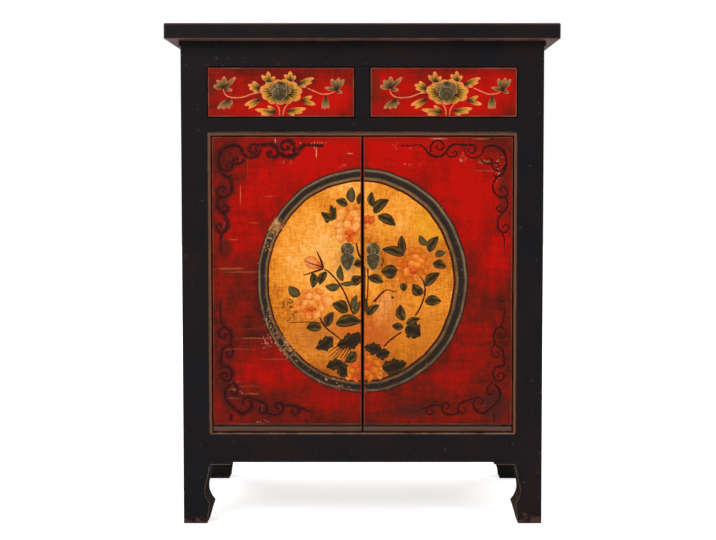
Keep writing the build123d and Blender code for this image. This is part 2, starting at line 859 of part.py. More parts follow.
def right_drawer():
    """The right drawer: front, two sides, back and floor."""
    x0, x1 = drawer_inner_x, drawer_outer_x
    front = block(x0, x1, front_y, drawer_back_y, drawer_low_z, drawer_high_z)
    front = fillet(front.faces().sort_by(Axis.Y)[0].edges(), drawer_arris)
    side = block(x0, x0 + drawer_side_thickness, drawer_back_y, drawer_rear_y,
        drawer_side_low_z, drawer_side_high_z)
    side += Pos(x0, 0, 0) * extrude(Plane.YZ * tails(0.0), amount=drawer_side_thickness)
    sockets = Pos(x0, 0, 0) * extrude(Plane.YZ * tails(joint_fit), amount=drawer_side_thickness + joint_fit)
    across = Plane.YZ.offset((x0 + x1) / 2)
    front -= sockets + mirror(sockets, about=across)

    floor_z0 = drawer_side_low_z + drawer_floor_rise
    floor_z1 = floor_z0 + drawer_floor_thickness
    back_y1 = drawer_rear_y - drawer_back_inset
    back_y0 = back_y1 - drawer_side_thickness
    floor_x = drawer_side_thickness - drawer_floor_groove
    floor_span = (
        x0 + floor_x + panel_play,
        x1 - floor_x - panel_play,
        drawer_back_y - drawer_floor_groove + panel_play,
        back_y1,
        floor_z0,
        floor_z1,
    )
    groove = block(
        x0 + floor_x,
        x1 - floor_x,
        drawer_back_y - drawer_floor_groove,
        drawer_rear_y,
        floor_z0 - panel_fit,
        floor_z1 + panel_fit,
    )
    floor = block(*floor_span)
    back_x = drawer_side_thickness - drawer_back_housing
    back = block(
        x0 + back_x + joint_fit,
        x1 - back_x - joint_fit,
        back_y0,
        back_y1,
        floor_z1 + panel_fit,
        floor_z1 + drawer_back_height,
    )
    housing = block(
        x0 + back_x,
        x1 - back_x,
        back_y0 - joint_fit,
        back_y1 + joint_fit,
        floor_z1,
        drawer_side_high_z,
    )
    side -= groove + housing
    front -= groove
    sides = side + mirror(side, about=across)
    return {"front": front, "sides": sides, "back": back, "floor": floor}


# ---- every piece by its name, written to parts/ ------------------------------------------------------

nodes = {
    "front_left_post": front_left_post,
    "front_right_post": front_right_post,
    "rear_left_post": rear_left_post,
    "rear_right_post": rear_right_post,
    "top_frame_front": top_frame_front,
    "top_frame_rear": top_frame_rear,
    "top_frame_left": top_frame_left,
    "top_frame_right": top_frame_right,
    "top_panel": top_panel,
    "top_panel_batten": top_panel_batten,
    "front_top_rail": front_top_rail,
    "front_middle_rail": front_middle_rail,
    "drawer_divider": divider,
    "apron": apron,
    "rear_top_rail": rear_top_rail,
    "rear_middle_rail": rear_middle_rail,
    "rear_bottom_rail": rear_bottom_rail,
    "left_top_rail": left_top_rail,
    "left_bottom_rail": left_bottom_rail,
    "right_top_rail": right_top_rail,
    "right_bottom_rail": right_bottom_rail,
    "left_side_panel": mirrored(block(*side_panel_span)),
    "right_side_panel": block(*side_panel_span),
    "back_panel": block(*back_panel_span),
    "bottom_board": bottom_board,
    "shelf": shelf,
    "shelf_cleats": shelf_cleats,
    "side_drawer_runners": side_drawer_runners,
    "centre_drawer_runner": centre_drawer_runner,
    "drawer_kickers": drawer_kickers,
    "door_bead": door_bead,
    "door_stops": door_stops,
}
for piece, shape in right_door().items():
    nodes["right_door_" + piece] = shape
    nodes["left_door_" + piece] = mirrored(shape)
for piece, shape in right_drawer().items():
    nodes["right_drawer_" + piece] = shape
    nodes["left_drawer_" + piece] = mirrored(shape)
door_drop = pull_drop(
    door_drop_width, door_drop_top, door_drop_length, door_drop_shoulder, door_drop_lug
)
drawer_drop = pull_drop(drawer_drop_width, drop_bridge, drawer_drop_length, drawer_drop_shoulder, 0)
pulls = (
    ("left_door", "panel", left_door_pull_x, door_pull_height, door_thickness, door_drop),
    ("right_door", "panel", right_door_pull_x, door_pull_height, door_thickness, door_drop),
    ("left_drawer", "front", left_drawer_pull_x, drawer_pull_z, drawer_front_thickness, drawer_drop),
    ("right_drawer", "front", right_drawer_pull_x, drawer_pull_z, drawer_front_thickness, drawer_drop),
)
for owner, board, x, z, thickness, drop in pulls:
    place = on_face(x, z)
    nodes[f"{owner}_{board}"] -= place * staple_bore
    nodes[f"{owner}_pull_plate"] = place * pull_plate()
    nodes[f"{owner}_pull_staple"] = place * pull_staple(thickness)
    nodes[f"{owner}_pull_drop"] = place * drop

os.makedirs("parts", exist_ok=True)
for name, shape in nodes.items():
    export_step(Part() + shape, f"parts/{name}.step")
print(len(nodes), "nodes written")
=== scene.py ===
import math

import bmesh
import bpy
import numpy as np
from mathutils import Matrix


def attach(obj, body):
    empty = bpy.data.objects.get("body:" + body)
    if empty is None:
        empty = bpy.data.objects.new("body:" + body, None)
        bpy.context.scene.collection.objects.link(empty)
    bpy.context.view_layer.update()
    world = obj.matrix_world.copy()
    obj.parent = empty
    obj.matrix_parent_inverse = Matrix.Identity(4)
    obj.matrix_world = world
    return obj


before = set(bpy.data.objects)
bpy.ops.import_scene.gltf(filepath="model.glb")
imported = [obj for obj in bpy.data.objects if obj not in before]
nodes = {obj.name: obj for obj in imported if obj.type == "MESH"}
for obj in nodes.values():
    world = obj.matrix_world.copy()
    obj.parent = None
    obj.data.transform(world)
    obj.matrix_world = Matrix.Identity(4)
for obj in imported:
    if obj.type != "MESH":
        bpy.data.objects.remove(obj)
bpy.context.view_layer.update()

# A small lacquered wedding cabinet: a black case on hoof feet, two drawers and two doors in red with
# painted flowers, a ring across both doors, and bronze drop pulls. Pieces follow in the order in
# which the object is put together, each with its own sizes, colours, mesh and material.

# ---- camera -----------------------------------------------------------------------------------
# A longish lens a little over two metres in front of the doors, two thirds of the way up the
# cabinet and tilted slightly down. The small shifts set the cabinet in the middle of the frame.


def put(name, data):
    """A new object in the scene, at the origin."""
    made = bpy.data.objects.new(name, data)
    bpy.context.scene.collection.objects.link(made)
    return made


camera = put("camera", bpy.data.cameras.new("camera"))
camera.data.lens = 60.0
camera.data.sensor_width = 36.0
camera.data.shift_x = -0.0262
camera.data.shift_y = -0.05
camera.location = (0.0257, -2.317, 0.6246)
tilt = 2.634
camera.rotation_euler = (math.radians(90 - tilt), 0, 0)
bpy.context.scene.camera = camera
bpy.context.scene.view_settings.view_transform = "Standard"

# ---- floor, world and lamps -------------------------------------------------------------------
# A white paper sweep under soft boxes: the floor keeps the cabinet's shadow, and what the camera
# or a gloss sees of the room is plain white or grey.


def linear(colour):
    """An sRGB hex colour, such as "8a1c10", as linear red, green, blue and alpha."""
    parts = np.array([int(colour[i : i + 2], 16) for i in (0, 2, 4)]) / 255
    low = parts / 12.92
    high = ((parts + 0.055) / 1.055) ** 2.4
    return (*np.where(parts <= 0.04045, low, high).tolist(), 1.0)


def add(tree, kind, inputs=(), out=0, stops=(), **settings):
    """Adds a node and returns one of its outputs, or all of them where out is None.

    Inputs stand in the node's own order, or in a dict by name or number: each is a value, a hex
    colour or a socket to link from. Stops are the places and hex colours of a ramp.
    """
    node = tree.nodes.new("ShaderNode" + kind)
    for name, value in settings.items():
        setattr(node, name, value)
    for key, value in inputs.items() if isinstance(inputs, dict) else enumerate(inputs):
        if isinstance(value, bpy.types.NodeSocket):
            tree.links.new(value, node.inputs[key])
        else:
            node.inputs[key].default_value = linear(value) if isinstance(value, str) else value
    if stops:
        ramp = node.color_ramp.elements
        for _ in stops[2:]:
            ramp.new(0.5)
        for element, (share, colour) in zip(ramp, stops):
            element.position = share
            element.color = linear(colour)
    return node.outputs[out] if node.outputs and out is not None else node.outputs


def material(name):
    """An empty node material, its tree, and the place on the piece in metres."""
    made = bpy.data.materials.new(name)
    made.use_nodes = True
    made.node_tree.nodes.clear()
    return made, made.node_tree, add(made.node_tree, "TexCoord", out="Object")


# Matt white paper. To the camera it is lifted evenly to white, and less so near the cabinet, where
# its shadow stays.
sweep, tree, place = material("white_paper_sweep")
camera_ray = add(tree, "LightPath", out="Is Camera Ray")
away = add(tree, "VectorMath", (place,), out="Value", operation="LENGTH")
glow = add(tree, "MapRange", (away, 0.5, 2.2, 0.68, 1.0))
paper = add(tree, "BsdfDiffuse", ("f6f6f6",))
lift = add(tree, "Emission", {"Color": "ffffff", "Strength": glow})
unlit = add(tree, "Emission", {"Strength": 0.0})
seen = add(tree, "MixShader", (camera_ray, unlit, lift))
add(tree, "OutputMaterial", (add(tree, "AddShader", (paper, seen)),))

mesh = bpy.data.meshes.new("floor")
half_floor = 9.0
corners = [(x * half_floor, y * half_floor, 0) for x, y in ((-1, -1), (1, -1), (1, 1), (-1, 1))]
mesh.from_pydata(corners, [], [(0, 1, 2, 3)])
mesh.materials.append(sweep)
put("floor", mesh)

world = bpy.data.worlds.new("studio")
bpy.context.scene.world = world
world.use_nodes = True
tree = world.node_tree
tree.nodes.clear()
camera_ray = add(tree, "LightPath", out="Is Camera Ray")
room = add(tree, "Background", ((0.95, 0.97, 1.0, 1), 0.36))
white = add(tree, "Background", ("ffffff", 1.0))
add(tree, "OutputWorld", (add(tree, "MixShader", (camera_ray, room, white)),))

# Name, place, the point it is aimed at, width in metres and power in watts.
soft_boxes = (
    ("key_box", (-1.7, -2.3, 2.3), (0, -0.1, 0.5), 1.5, 48),
    ("fill_box", (2.1, -2.0, 1.7), (0, -0.1, 0.4), 1.6, 22),
    ("top_box", (0.2, 0.3, 2.9), (0, 0, 0.5), 1.8, 18),
    ("back_left_box", (-2.4, 1.9, 1.7), (0, 0, 0.5), 1.5, 24),
    ("back_right_box", (2.4, 1.9, 1.7), (0, 0, 0.5), 1.5, 24),
)
for name, stand, aim, size, power in soft_boxes:
    lamp = bpy.data.lights.new(name, "AREA")
    lamp.shape = "SQUARE"
    lamp.size = size
    lamp.energy = power
    holder = put(name, lamp)
    holder.location = stand
    x, y, z = np.subtract(aim, stand)
    holder.rotation_euler = (
        math.radians(90) + math.atan2(z, math.hypot(x, y)), 0, math.atan2(x, -y) + math.pi
    )

# ---- black lacquered case ---------------------------------------------------------------------
# Posts, rails, panels and top of a softwood such as northern elm, sized, brushed with black lacquer
# and rubbed back by hand, so that the arrises show a red-brown undercoat and then bare wood.

# Where the parts of the case meet, and where legs, kicks and rear posts begin and end, in metres.
post_inner_x = 0.278
apron_foot_z = 0.104
top_underside_z = 0.865
middle_rail_foot_z = 0.72
half_divider = 0.0155
leg_top_z = (0.11, 0.12)
kicked_z = (0.001, 0.022)
rear_post_y = (0.1, 0.12)


def streaks(tree, place, scale, detail):
    """Noise stretched along the axes: the scale is in turns per metre along each."""
    lie = add(tree, "Mapping", {"Vector": place, "Scale": scale})
    return add(tree, "TexNoise", {"Vector": lie, "Scale": 1.0, "Detail": detail})


def cloth(tree, place):
    """Hemp cloth under lacquer: long streaks along both threads. Returns their tone and height.

    The real threads are about 1 mm apart and are drawn at 2.4 mm, so that they show at all.
    """
    warp = streaks(tree, place, (420, 420, 85), 2.0)
    weft = streaks(tree, place, (95, 95, 400), 2.0)
    both = add(tree, "Math", (warp, weft), operation="ADD")
    return add(tree, "MapRange", (both, 0.72, 1.28)), both


def rubbed(tree, place, radius, low, high, patch):
    """Where hands and cloths have worn an arris: the rounded normal leaves the true one there. On the
    bronze pulls the same mask also lays a painted highlight along the rims.

    Two noises break it up, one in patches of the given size in mm and one like brush marks, 2.4 mm
    apart.
    """
    soft = add(tree, "Bevel", {"Radius": radius / 1000}, samples=6)
    true = add(tree, "NewGeometry", out="Normal")
    agree = add(tree, "VectorMath", (soft, true), out="Value", operation="DOT_PRODUCT")
    turned = add(tree, "Math", (1.0, agree), operation="SUBTRACT")
    broad = add(tree, "TexNoise", {"Vector": place, "Scale": 1000 / patch, "Detail": 3.0})
    fine = add(tree, "TexNoise", {"Vector": place, "Scale": 420.0, "Detail": 2.0})
    uneven = add(tree, "Math", (broad, fine), operation="ADD")
    weight = add(tree, "MapRange", (uneven, 0.75, 1.25, 0.3, 1.6))
    worn = add(tree, "Math", (turned, weight), operation="MULTIPLY")
    return add(tree, "MapRange", (worn, low, high))


def wood_grain(tree, place, along):
    """Bare softwood: rings stretched along the board, 4 mm apart, and darker pores between."""
    stretch = tuple(9 if axis == along else 160 for axis in "XYZ")
    lie = add(tree, "Mapping", {"Vector": place, "Scale": stretch})
    rings = add(tree, "TexNoise", {"Vector": lie, "Scale": 1.5, "Detail": 4.0, "Distortion": 0.6})
    browns = ((0.30, "5d3f26"), (0.48, "8d6740"), (0.70, "a98455"))
    return add(tree, "ValToRGB", (rings,), stops=browns)


def near(tree, value, centre, reach):
    """1 where a value is at its centre, falling to 0 at a distance."""
    off = add(tree, "Math", (value, centre), operation="SUBTRACT")
    off = add(tree, "Math", (off,), operation="ABSOLUTE")
    return add(tree, "MapRange", (off, 0, reach, 1.0, 0.0))


def faces(tree, way):
    """1 on the faces that point along a direction, and 0 on the others."""
    facing = add(tree, "TexCoord", out="Normal")
    turned = add(tree, "VectorMath", (facing, way), out="Value", operation="DOT_PRODUCT")
    return add(tree, "Math", (turned, 0.5), operation="GREATER_THAN")


def surface(tree, sockets, height=None, strength=0.25, depth=0.6):
    """The shader with its sockets and, where there is a height, a relief of so many mm."""
    if height:
        bump = {"Height": height, "Strength": strength, "Distance": depth / 1000}
        sockets["Normal"] = add(tree, "Bump", bump, out="Normal")
    add(tree, "OutputMaterial", (add(tree, "BsdfPrincipled", sockets),))


def black_lacquer(name, wear, lines=(), bare_way=None):
    """Black lacquer with a low polish, clouded brown, over a red-brown undercoat.

    Level arrises are rubbed bright along their whole length: lines gives their height, reach, strength
    and half length in metres. The joints beside the posts are filled with lacquer paste and hardly
    show. The foot of the case has been kicked and mopped down to the undercoat, and the inner faces of
    the legs were never polished. On those inner faces a lighter band low on the hoof is a painted
    highlight. Faces that point along bare_way are bare wood.
    Clouds are 110 mm across, breaks in a line 33 mm, kicks 11 mm and flecks of dust 5 mm.
    """
    made, tree, place = material(name)
    clouds = add(tree, "TexNoise", {"Vector": place, "Scale": 9.0, "Detail": 4.0})
    blacks = ((0.36, "131114"), (0.52, "181214"), (0.66, "1e1414"))
    colour = add(tree, "ValToRGB", (clouds,), stops=blacks)
    tone, threads = cloth(tree, place)
    worn = rubbed(tree, place, 2.6, 0.10 / wear, 0.42 / wear, 60)
    axes = add(tree, "SeparateXYZ", (place,), out=None)
    side = add(tree, "Math", (axes["X"],), operation="ABSOLUTE")
    joint = near(tree, side, post_inner_x, 0.006)
    above = add(tree, "Math", (axes["Z"], apron_foot_z), operation="GREATER_THAN")
    filled = add(tree, "Math", (joint, above), operation="MULTIPLY")
    unfilled = add(tree, "Math", (1.0, filled), operation="SUBTRACT")
    under_top = near(tree, axes["Z"], top_underside_z, 0.005)
    open_air = add(tree, "MapRange", (under_top, 0, 0.4, 1.0, 0.15))
    beside = add(tree, "Math", (side, half_divider), operation="GREATER_THAN")
    below = add(tree, "Math", (axes["Z"], middle_rail_foot_z), operation="LESS_THAN")
    off_divider = add(tree, "Math", (beside, below), operation="MAXIMUM")
    legs = add(tree, "MapRange", (axes["Z"], *leg_top_z, 1.0, 0.0))
    bared = add(tree, "MapRange", (legs, 0, 1, 1.0, 1.8))
    for share in (unfilled, open_air, off_divider, bared):
        worn = add(tree, "Math", (worn, share), operation="MULTIPLY")
    breaks = add(tree, "TexNoise", {"Vector": place, "Scale": 30.0, "Detail": 4.0})
    breaks = add(tree, "MapRange", (breaks, 0.3, 0.55, 0.6, 1.0))
    for height, reach, strength, half in lines:
        line = near(tree, axes["Z"], height, reach)
        along = add(tree, "MapRange", (side, half - 0.002, half, strength, 0.0))
        line = add(tree, "Math", (line, along), operation="MULTIPLY")
        line = add(tree, "Math", (line, breaks), operation="MULTIPLY")
        worn = add(tree, "Math", (worn, line), operation="MAXIMUM")
    undercoats = ((0.0, "2c1611"), (0.45, "6a4134"), (1.0, "a07f6c"))
    under = add(tree, "ValToRGB", (worn,), stops=undercoats)
    low = add(tree, "MapRange", (axes["Z"], *kicked_z, 0.18, -0.18))
    kicks = add(tree, "TexNoise", {"Vector": place, "Scale": 90.0, "Detail": 3.0})
    kicks = add(tree, "Math", (kicks, low), operation="ADD")
    behind = add(tree, "MapRange", (axes["Y"], *rear_post_y, 0.0, 0.17))
    kicks = add(tree, "Math", (kicks, behind), operation="SUBTRACT")
    kicked = add(tree, "MapRange", (kicks, 0.52, 0.62, 0.0, 0.85))
    facing = add(tree, "TexCoord", out="Normal")
    inwards = add(tree, "VectorMath", (facing, place), operation="MULTIPLY")
    inwards = add(tree, "VectorMath", (inwards, (-1, 0, 0)), out="Value", operation="DOT_PRODUCT")
    inner = add(tree, "MapRange", (inwards, 0.03, 0.12))
    inner = add(tree, "Math", (inner, legs), operation="MULTIPLY")
    inner = add(tree, "Math", (inner, 0.93), operation="MULTIPLY")
    # Dull brown of the unpolished inner leg faces; the lighter stop 45 mm up is a painted highlight on
    # the hoof.
    dull = ((0.0, "2a1b17"), (0.045, "3a2b27"), (0.06, "271510"))
    inner_brown_and_highlight = add(tree, "ValToRGB", (axes["Z"],), stops=dull)
    flecks = add(tree, "TexNoise", {"Vector": place, "Scale": 190.0, "Detail": 1.0})
    fleck = add(tree, "MapRange", (flecks, 0.765, 0.81, 0.0, 0.6))
    coats = [(worn, under), (kicked, "55372f"), (inner, inner_brown_and_highlight), (fleck, "6a5f5a")]
    if bare_way:
        coats.append((faces(tree, bare_way), wood_grain(tree, place, "Z")))
    for share, coat in coats:
        colour = add(tree, "Mix", {0: share, 6: colour, 7: coat}, out=2, data_type="RGBA")
    roughness = add(tree, "MapRange", (tone, 0, 1, 0.40, 0.52))
    polish = add(tree, "MapRange", (inner, 0, 1, 0.12, 0.0))
    sockets = {"Base Color": colour, "Roughness": roughness, "Specular IOR Level": polish}
    surface(tree, sockets, threads, 0.16)
    return made


def dress(names, made):
    """Gives one material to CAD nodes, named in full or by how their names end."""
    for name in nodes:
        if name.endswith(tuple(names)):
            for slot in nodes[name].material_slots:
                slot.material = made


case = black_lacquer("black_lacquer", 1.3, ((0.165, 0.0034, 0.95, 0.277),))
dress(["_post", "_rail", "drawer_divider", "apron", "_pivots"], case)
top_lines = ((0.8722, 0.0022, 0.8, 1.0), (0.8985, 0.004, 0.5, 1.0))
top_members = [n for n in nodes if n.startswith("top_frame")]
dress(top_members + ["top_panel"], black_lacquer("black_lacquer_top", 1.0, top_lines))
for end, way in (("left_side", (1, 0, 0)), ("right_side", (-1, 0, 0)), ("back", (0, -1, 0))):
    dress([end + "_panel"], black_lacquer("black_lacquer_" + end, 1.0, (), way))

# ---- bare wood inside -------------------------------------------------------------------------
# Boards, cleats, runners and the sides of the drawers are the same softwood, planed and left bare,
# and have darkened with age. The sides of the drawers are dovetailed to their fronts.


def bare_wood(name, along):
    """Planed softwood with its grain along one axis: matt, brown and darker where handled.

    The stains are 140 mm across.
    """
    made, tree, place = material(name)
    grain = wood_grain(tree, place, along)
    stain = add(tree, "TexNoise", {"Vector": place, "Scale": 7.0, "Detail": 3.0})
    dirt = add(tree, "MapRange", (stain, 0.35, 0.7, 0.0, 0.45))
    colour = add(tree, "Mix", {0: dirt, 6: grain, 7: "54391f"}, out=2, data_type="RGBA")
    surface(tree, {"Base Color": colour, "Roughness": 0.68, "Specular IOR Level": 0.3})
    return made


across_board = bare_wood("bare_softwood_across", "X")
dress(["bottom_board", "shelf", "door_stops", "_back", "back_cleats"], across_board)
backwards = bare_wood("bare_softwood_backwards", "Y")
dress(["shelf_cleats", "drawer_runners", "centre_drawer_runner", "drawer_kickers"], backwards)
dress(["_sides", "_floor", "top_panel_batten"], backwards)

# ---- bead and door battens --------------------------------------------------------------------
# Thin strips glued round the door opening and at the foot of each door, lacquered black and worn
# until the brown undercoat and the wood show along their whole length.


def worn_strip(name, across, stops):
    """A dull strip worn in lines along it: across runs from 0 to 1 over its width, unevenly.

    The lines waver every 17 mm.
    """
    made, tree, place = material(name)
    share = across(tree, add(tree, "SeparateXYZ", (place,), out=None))
    lengths = add(tree, "TexNoise", {"Vector": place, "Scale": 60.0, "Detail": 5.0})
    drift = add(tree, "MapRange", (lengths, 0.3, 0.7, -0.12, 0.12))
    share = add(tree, "Math", (share, drift), operation="ADD")
    colour = add(tree, "ValToRGB", (share,), stops=stops)
    sockets = {"Base Color": colour, "Roughness": 0.55, "Specular IOR Level": 0.12}
    surface(tree, sockets, lengths, 0.2, 0.5)
    return made


bead_width = 0.0065
bead_top_z = 0.7088
batten_z = (0.1685, 0.1773)


def across_bead(tree, axes):
    """From the outer edge of the bead, at the sides and the top, in to the opening."""
    side = add(tree, "Math", (axes["X"],), operation="ABSOLUTE")
    beside = add(tree, "Math", (post_inner_x, side), operation="SUBTRACT")
    below = add(tree, "Math", (bead_top_z, axes["Z"]), operation="SUBTRACT")
    inwards = add(tree, "Math", (beside, below), operation="MINIMUM")
    return add(tree, "Math", (inwards, 1 / bead_width), operation="MULTIPLY")


def across_batten(tree, axes):
    """From the lower edge of a batten to the groove above it."""
    return add(tree, "MapRange", (axes["Z"], *batten_z))


bead_stops = (
    (0.0, "30241f"), (0.18, "563e30"), (0.5, "684631"), (0.75, "7c4f36"), (0.88, "74381f"),
    (1.0, "641f0e"),
)
dress(["door_bead"], worn_strip("worn_bead", across_bead, bead_stops))
batten_stops = ((0.0, "5e1c10"), (0.2, "5a3a2a"), (0.5, "594439"), (0.8, "5a4a41"), (1.0, "574339"))
dress(["bottom_batten"], worn_strip("worn_batten", across_batten, batten_stops))

# ---- doors and drawer fronts ------------------------------------------------------------------
# Boards faced with hemp cloth, ground with lacquer paste and finished in cinnabar red. It is bright
# where it has been wiped, and brown with smoke and handling low down and along the hinge sides.

# Places and half sizes in mm: x, z, half width, half height, and then strength or colour.
door_patches = (
    (0, 700, 280, 130, 1.0), (-85, 650, 170, 120, 0.9), (-165, 605, 140, 170, 0.68),
    (-218, 540, 90, 150, 0.66), (95, 670, 180, 110, 0.95), (190, 590, 150, 190, 0.84),
    (245, 478, 80, 120, 0.75), (205, 325, 100, 80, 0.5), (-170, 280, 140, 80, 0.62),
    (-40, 225, 170, 65, 0.5), (160, 262, 100, 70, 0.45),
)
door_flecks = (
    (-141, 657, 12, 12), (-35, 650, 26, 11), (-84, 690, 60, 10), (-246, 541, 17, 17), (-20, 672, 20, 6),
    (60, 684, 12, 14), (84, 680, 16, 7), (78, 651, 48, 5), (180, 661, 20, 20), (245, 640, 22, 60),
    (-172, 332, 30, 44), (-226, 240, 46, 12), (-180, 186, 60, 6),
)
door_marks = (
    (-82.5, 673, 1.7, 16, "f0a488"), (-86, 686, 1.3, 12, "f0a488"), (-156, 694, 1.4, 7, "f4b094"),
    (-127.6, 665, 1.2, 30, "cc5c40"), (-22.5, 670.5, 9, 1.8, "e07a58"), (-219, 596, 1.3, 28, "dc6a3c"),
    (-206, 647, 1.1, 40, "aa3c28"), (-168, 594, 18, 1.5, "bc482e"), (-233, 516, 16, 1.4, "c85636"),
    (-195, 546.5, 18, 1.3, "b84a2c"), (-238, 464, 46, 3.5, "a84c2a"), (-215, 458, 60, 2.5, "8e4428"),
    (-246, 500, 24, 30, "4a1a12"), (-252, 590, 20, 60, "4a1a14"), (-246, 250, 26, 70, "4e1c14"),
    (-240, 259, 30, 2.2, "9c5434"), (-236, 245, 28, 3.5, "a85c38"), (-212, 251, 40, 1.6, "8a4228"),
    (-203, 237, 26, 3, "a2522e"), (-240, 229, 26, 2, "8f4a30"), (-182, 214, 1.5, 20, "9a5040"),
    (-205, 355, 70, 3, "6e2418"), (-190, 338, 60, 2.2, "a04e34"), (-230, 318, 60, 2.2, "843a24"),
    (-150, 300, 60, 2.2, "963e24"), (137, 697, 26, 1.5, "e08a70"), (213, 697, 24, 1.4, "d8785e"),
    (218, 656, 20, 6, "8a5038"), (225, 640, 50, 2, "a04030"), (253, 600, 16, 70, "561d14"),
    (240, 215, 40, 50, "44201a"), (86, 206, 50, 22, "4c1f18"),
)
drawer_patches = (
    (-160, 738, 190, 50, 1.0), (-60, 765, 100, 60, 0.9), (140, 742, 200, 60, 1.0),
    (240, 785, 120, 70, 0.9), (60, 800, 100, 60, 0.7), (-240, 790, 90, 60, 0.5),
)
drawer_marks = (
    (-75, 803, 34, 1.2, "a81e10"), (-230, 755, 40, 1.2, "b02a18"), (235, 806, 34, 1.2, "a82414"),
    (-268, 790, 16, 30, "6a1e12"), (24, 790, 14, 40, "7c2012"),
)


def spot(tree, place, x, z, across, high):
    """A soft round patch on the front: 1 at x, z (mm), fading to nothing at its half sizes."""
    moved = {"Location": (-x / across, 0, -z / high), "Scale": (1000 / across, 0, 1000 / high)}
    moved = add(tree, "Mapping", {"Vector": place, **moved})
    away = add(tree, "VectorMath", (moved,), out="Value", operation="LENGTH")
    return add(tree, "MapRange", (away, 0, 1, 1.0, 0.0), interpolation_type="SMOOTHERSTEP")


def brightness(tree, place, patches, softness):
    """The strength of the patches, which run into each other softly."""
    light = None
    for *where, strength in patches:
        patch = add(tree, "Math", (spot(tree, place, *where), strength), operation="MULTIPLY")
        if light:
            patch = add(tree, "Math", (light, patch, softness), operation="SMOOTH_MAX")
        light = patch
    return light


def cinnabar(tree, place, patches, shades, flecked, marks):
    """Colour, thread tone and thread height of red lacquer on cloth.

    It is brighter in the given patches, and clouded 70 mm across, 14 x 45 mm and 60 x 12 mm. Where
    it is flecked, the lacquer has chipped off the tops of the threads, and the marks are scratches
    and stains.
    """
    light = brightness(tree, place, patches, 0.25)
    for scale, reach in (((14, 0, 14), 0.24), ((70, 0, 22), 0.12), ((16, 0, 80), 0.14)):
        clouds = streaks(tree, place, scale, 5.0)
        drift = add(tree, "MapRange", (clouds, 0.32, 0.68, -reach, reach))
        light = add(tree, "Math", (light, drift), operation="ADD")
    tone, threads = cloth(tree, place)
    drift = add(tree, "MapRange", (tone, 0, 1, -0.02, 0.3))
    light = add(tree, "Math", (light, drift), operation="ADD")
    coats = []
    flaked = 0.0
    for row in flecked:
        flaked = add(tree, "Math", (flaked, spot(tree, place, *row)), operation="MAXIMUM")
    for scale, low in (((430, 0, 160), 0.82), ((160, 0, 430), 0.84)):
        chips = streaks(tree, place, scale, 1.5)
        chips = add(tree, "Math", (flaked, 0.17, chips), operation="MULTIPLY_ADD")
        coats.append((add(tree, "MapRange", (chips, low - 0.06, low + 0.02, 0.0, 0.85)), "f09a80"))
    grain = add(tree, "MapRange", (tone, 0.2, 0.9, 0.5, 1.4))
    for *where, shade in marks:
        patch = add(tree, "Math", (spot(tree, place, *where), grain), operation="MULTIPLY")
        coats.append((add(tree, "MapRange", (patch, 0.1, 0.6, 0.0, 0.8)), shade))
    stops = tuple(zip((0.0, 0.35, 0.7, 1.0), shades))
    colour = add(tree, "ValToRGB", (light,), stops=stops)
    for share, coat in coats:
        colour = add(tree, "Mix", {0: share, 6: colour, 7: coat}, out=2, data_type="RGBA")
    return colour, tone, threads


def door_cinnabar(tree, place):
    """The doors' red."""
    shades = ("4b170c", "76180a", "a00f04", "be0d02")
    return cinnabar(tree, place, door_patches, shades, door_flecks, door_marks)


def drawer_cinnabar(tree, place):
    """The drawers' red."""
    shades = ("5c160a", "881608", "aa1104", "c00f02")
    return cinnabar(tree, place, drawer_patches, shades, (), drawer_marks)


def satin(tree, colour, tone, threads, low, high):
    """A satin surface with the cloth's threads in it, its roughness between low and high."""
    rough = add(tree, "MapRange", (tone, 0, 1, low, high))
    surface(tree, {"Base Color": colour, "Roughness": rough, "Specular IOR Level": 0.07}, threads)


def lacquered_board(name, red, grain, border, worn, dim):
    """Red lacquer in front, worn along its border (x0, x1, z0, z1 in metres), stained wood behind.

    The arris itself is dark with handling, and the lacquer beside it is rubbed to the paste, in
    stretches of 26 mm.
    """
    made, tree, place = material(name)
    colour, tone, threads = red(tree, place)
    axes = add(tree, "SeparateXYZ", (place,), out=None)
    side = add(tree, "Math", (axes["X"],), operation="ABSOLUTE")
    x0, x1, z0, z1 = border
    inside = 1.0
    for pair in ((side, x0), (x1, side), (axes["Z"], z0), (z1, axes["Z"])):
        gap = add(tree, "Math", pair, operation="SUBTRACT")
        inside = add(tree, "Math", (inside, gap), operation="MINIMUM")
    smoke = add(tree, "MapRange", (inside, 0, 0.014, 0.42, 0.0))
    dark = add(tree, "MapRange", (inside, 0.0004, 0.0024, dim, 0.0))
    broken = add(tree, "TexNoise", {"Vector": place, "Scale": 38.0, "Detail": 5.0})
    broken = add(tree, "MapRange", (broken, 0.42, 0.66, 0.35 * worn, worn))
    line = add(tree, "Math", (near(tree, inside, 0.0014, 0.0016), broken), operation="MULTIPLY")
    bare = wood_grain(tree, place, grain)
    stained = add(tree, "Mix", {0: 0.55, 6: bare, 7: "5a2517"}, out=2, data_type="RGBA")
    hidden = faces(tree, (0, 1, 0))
    for share, coat in ((smoke, "4a1a12"), (dark, "35110c"), (line, "a46c52"), (hidden, stained)):
        colour = add(tree, "Mix", {0: share, 6: colour, 7: coat}, out=2, data_type="RGBA")
    satin(tree, colour, tone, threads, 0.36, 0.5)
    return made


door_border = (0.00175, 0.270, 0.1805, 0.7008)
made = lacquered_board("red_lacquer_doors", door_cinnabar, "Z", door_border, 0.35, 0.35)
dress(["door_panel"], made)
drawer_border = (0.0145, 0.2765, 0.736, 0.824)
made = lacquered_board("red_lacquer_drawers", drawer_cinnabar, "X", drawer_border, 0.6, 0.8)
dress(["drawer_front"], made)

# ---- gilt ground of the medallion -------------------------------------------------------------
# A round field across both doors, laid in yellow ochre and gold size over the red and toned with
# a clear lacquer that has gone orange. The threads of the cloth and brown stains show through it.

# The front of the boards, and where paint stops beside the gap between the doors, in mm.
face_y = -175.0
seam_edge = 3.4
doors = ((-1, "left_door"), (1, "right_door"))


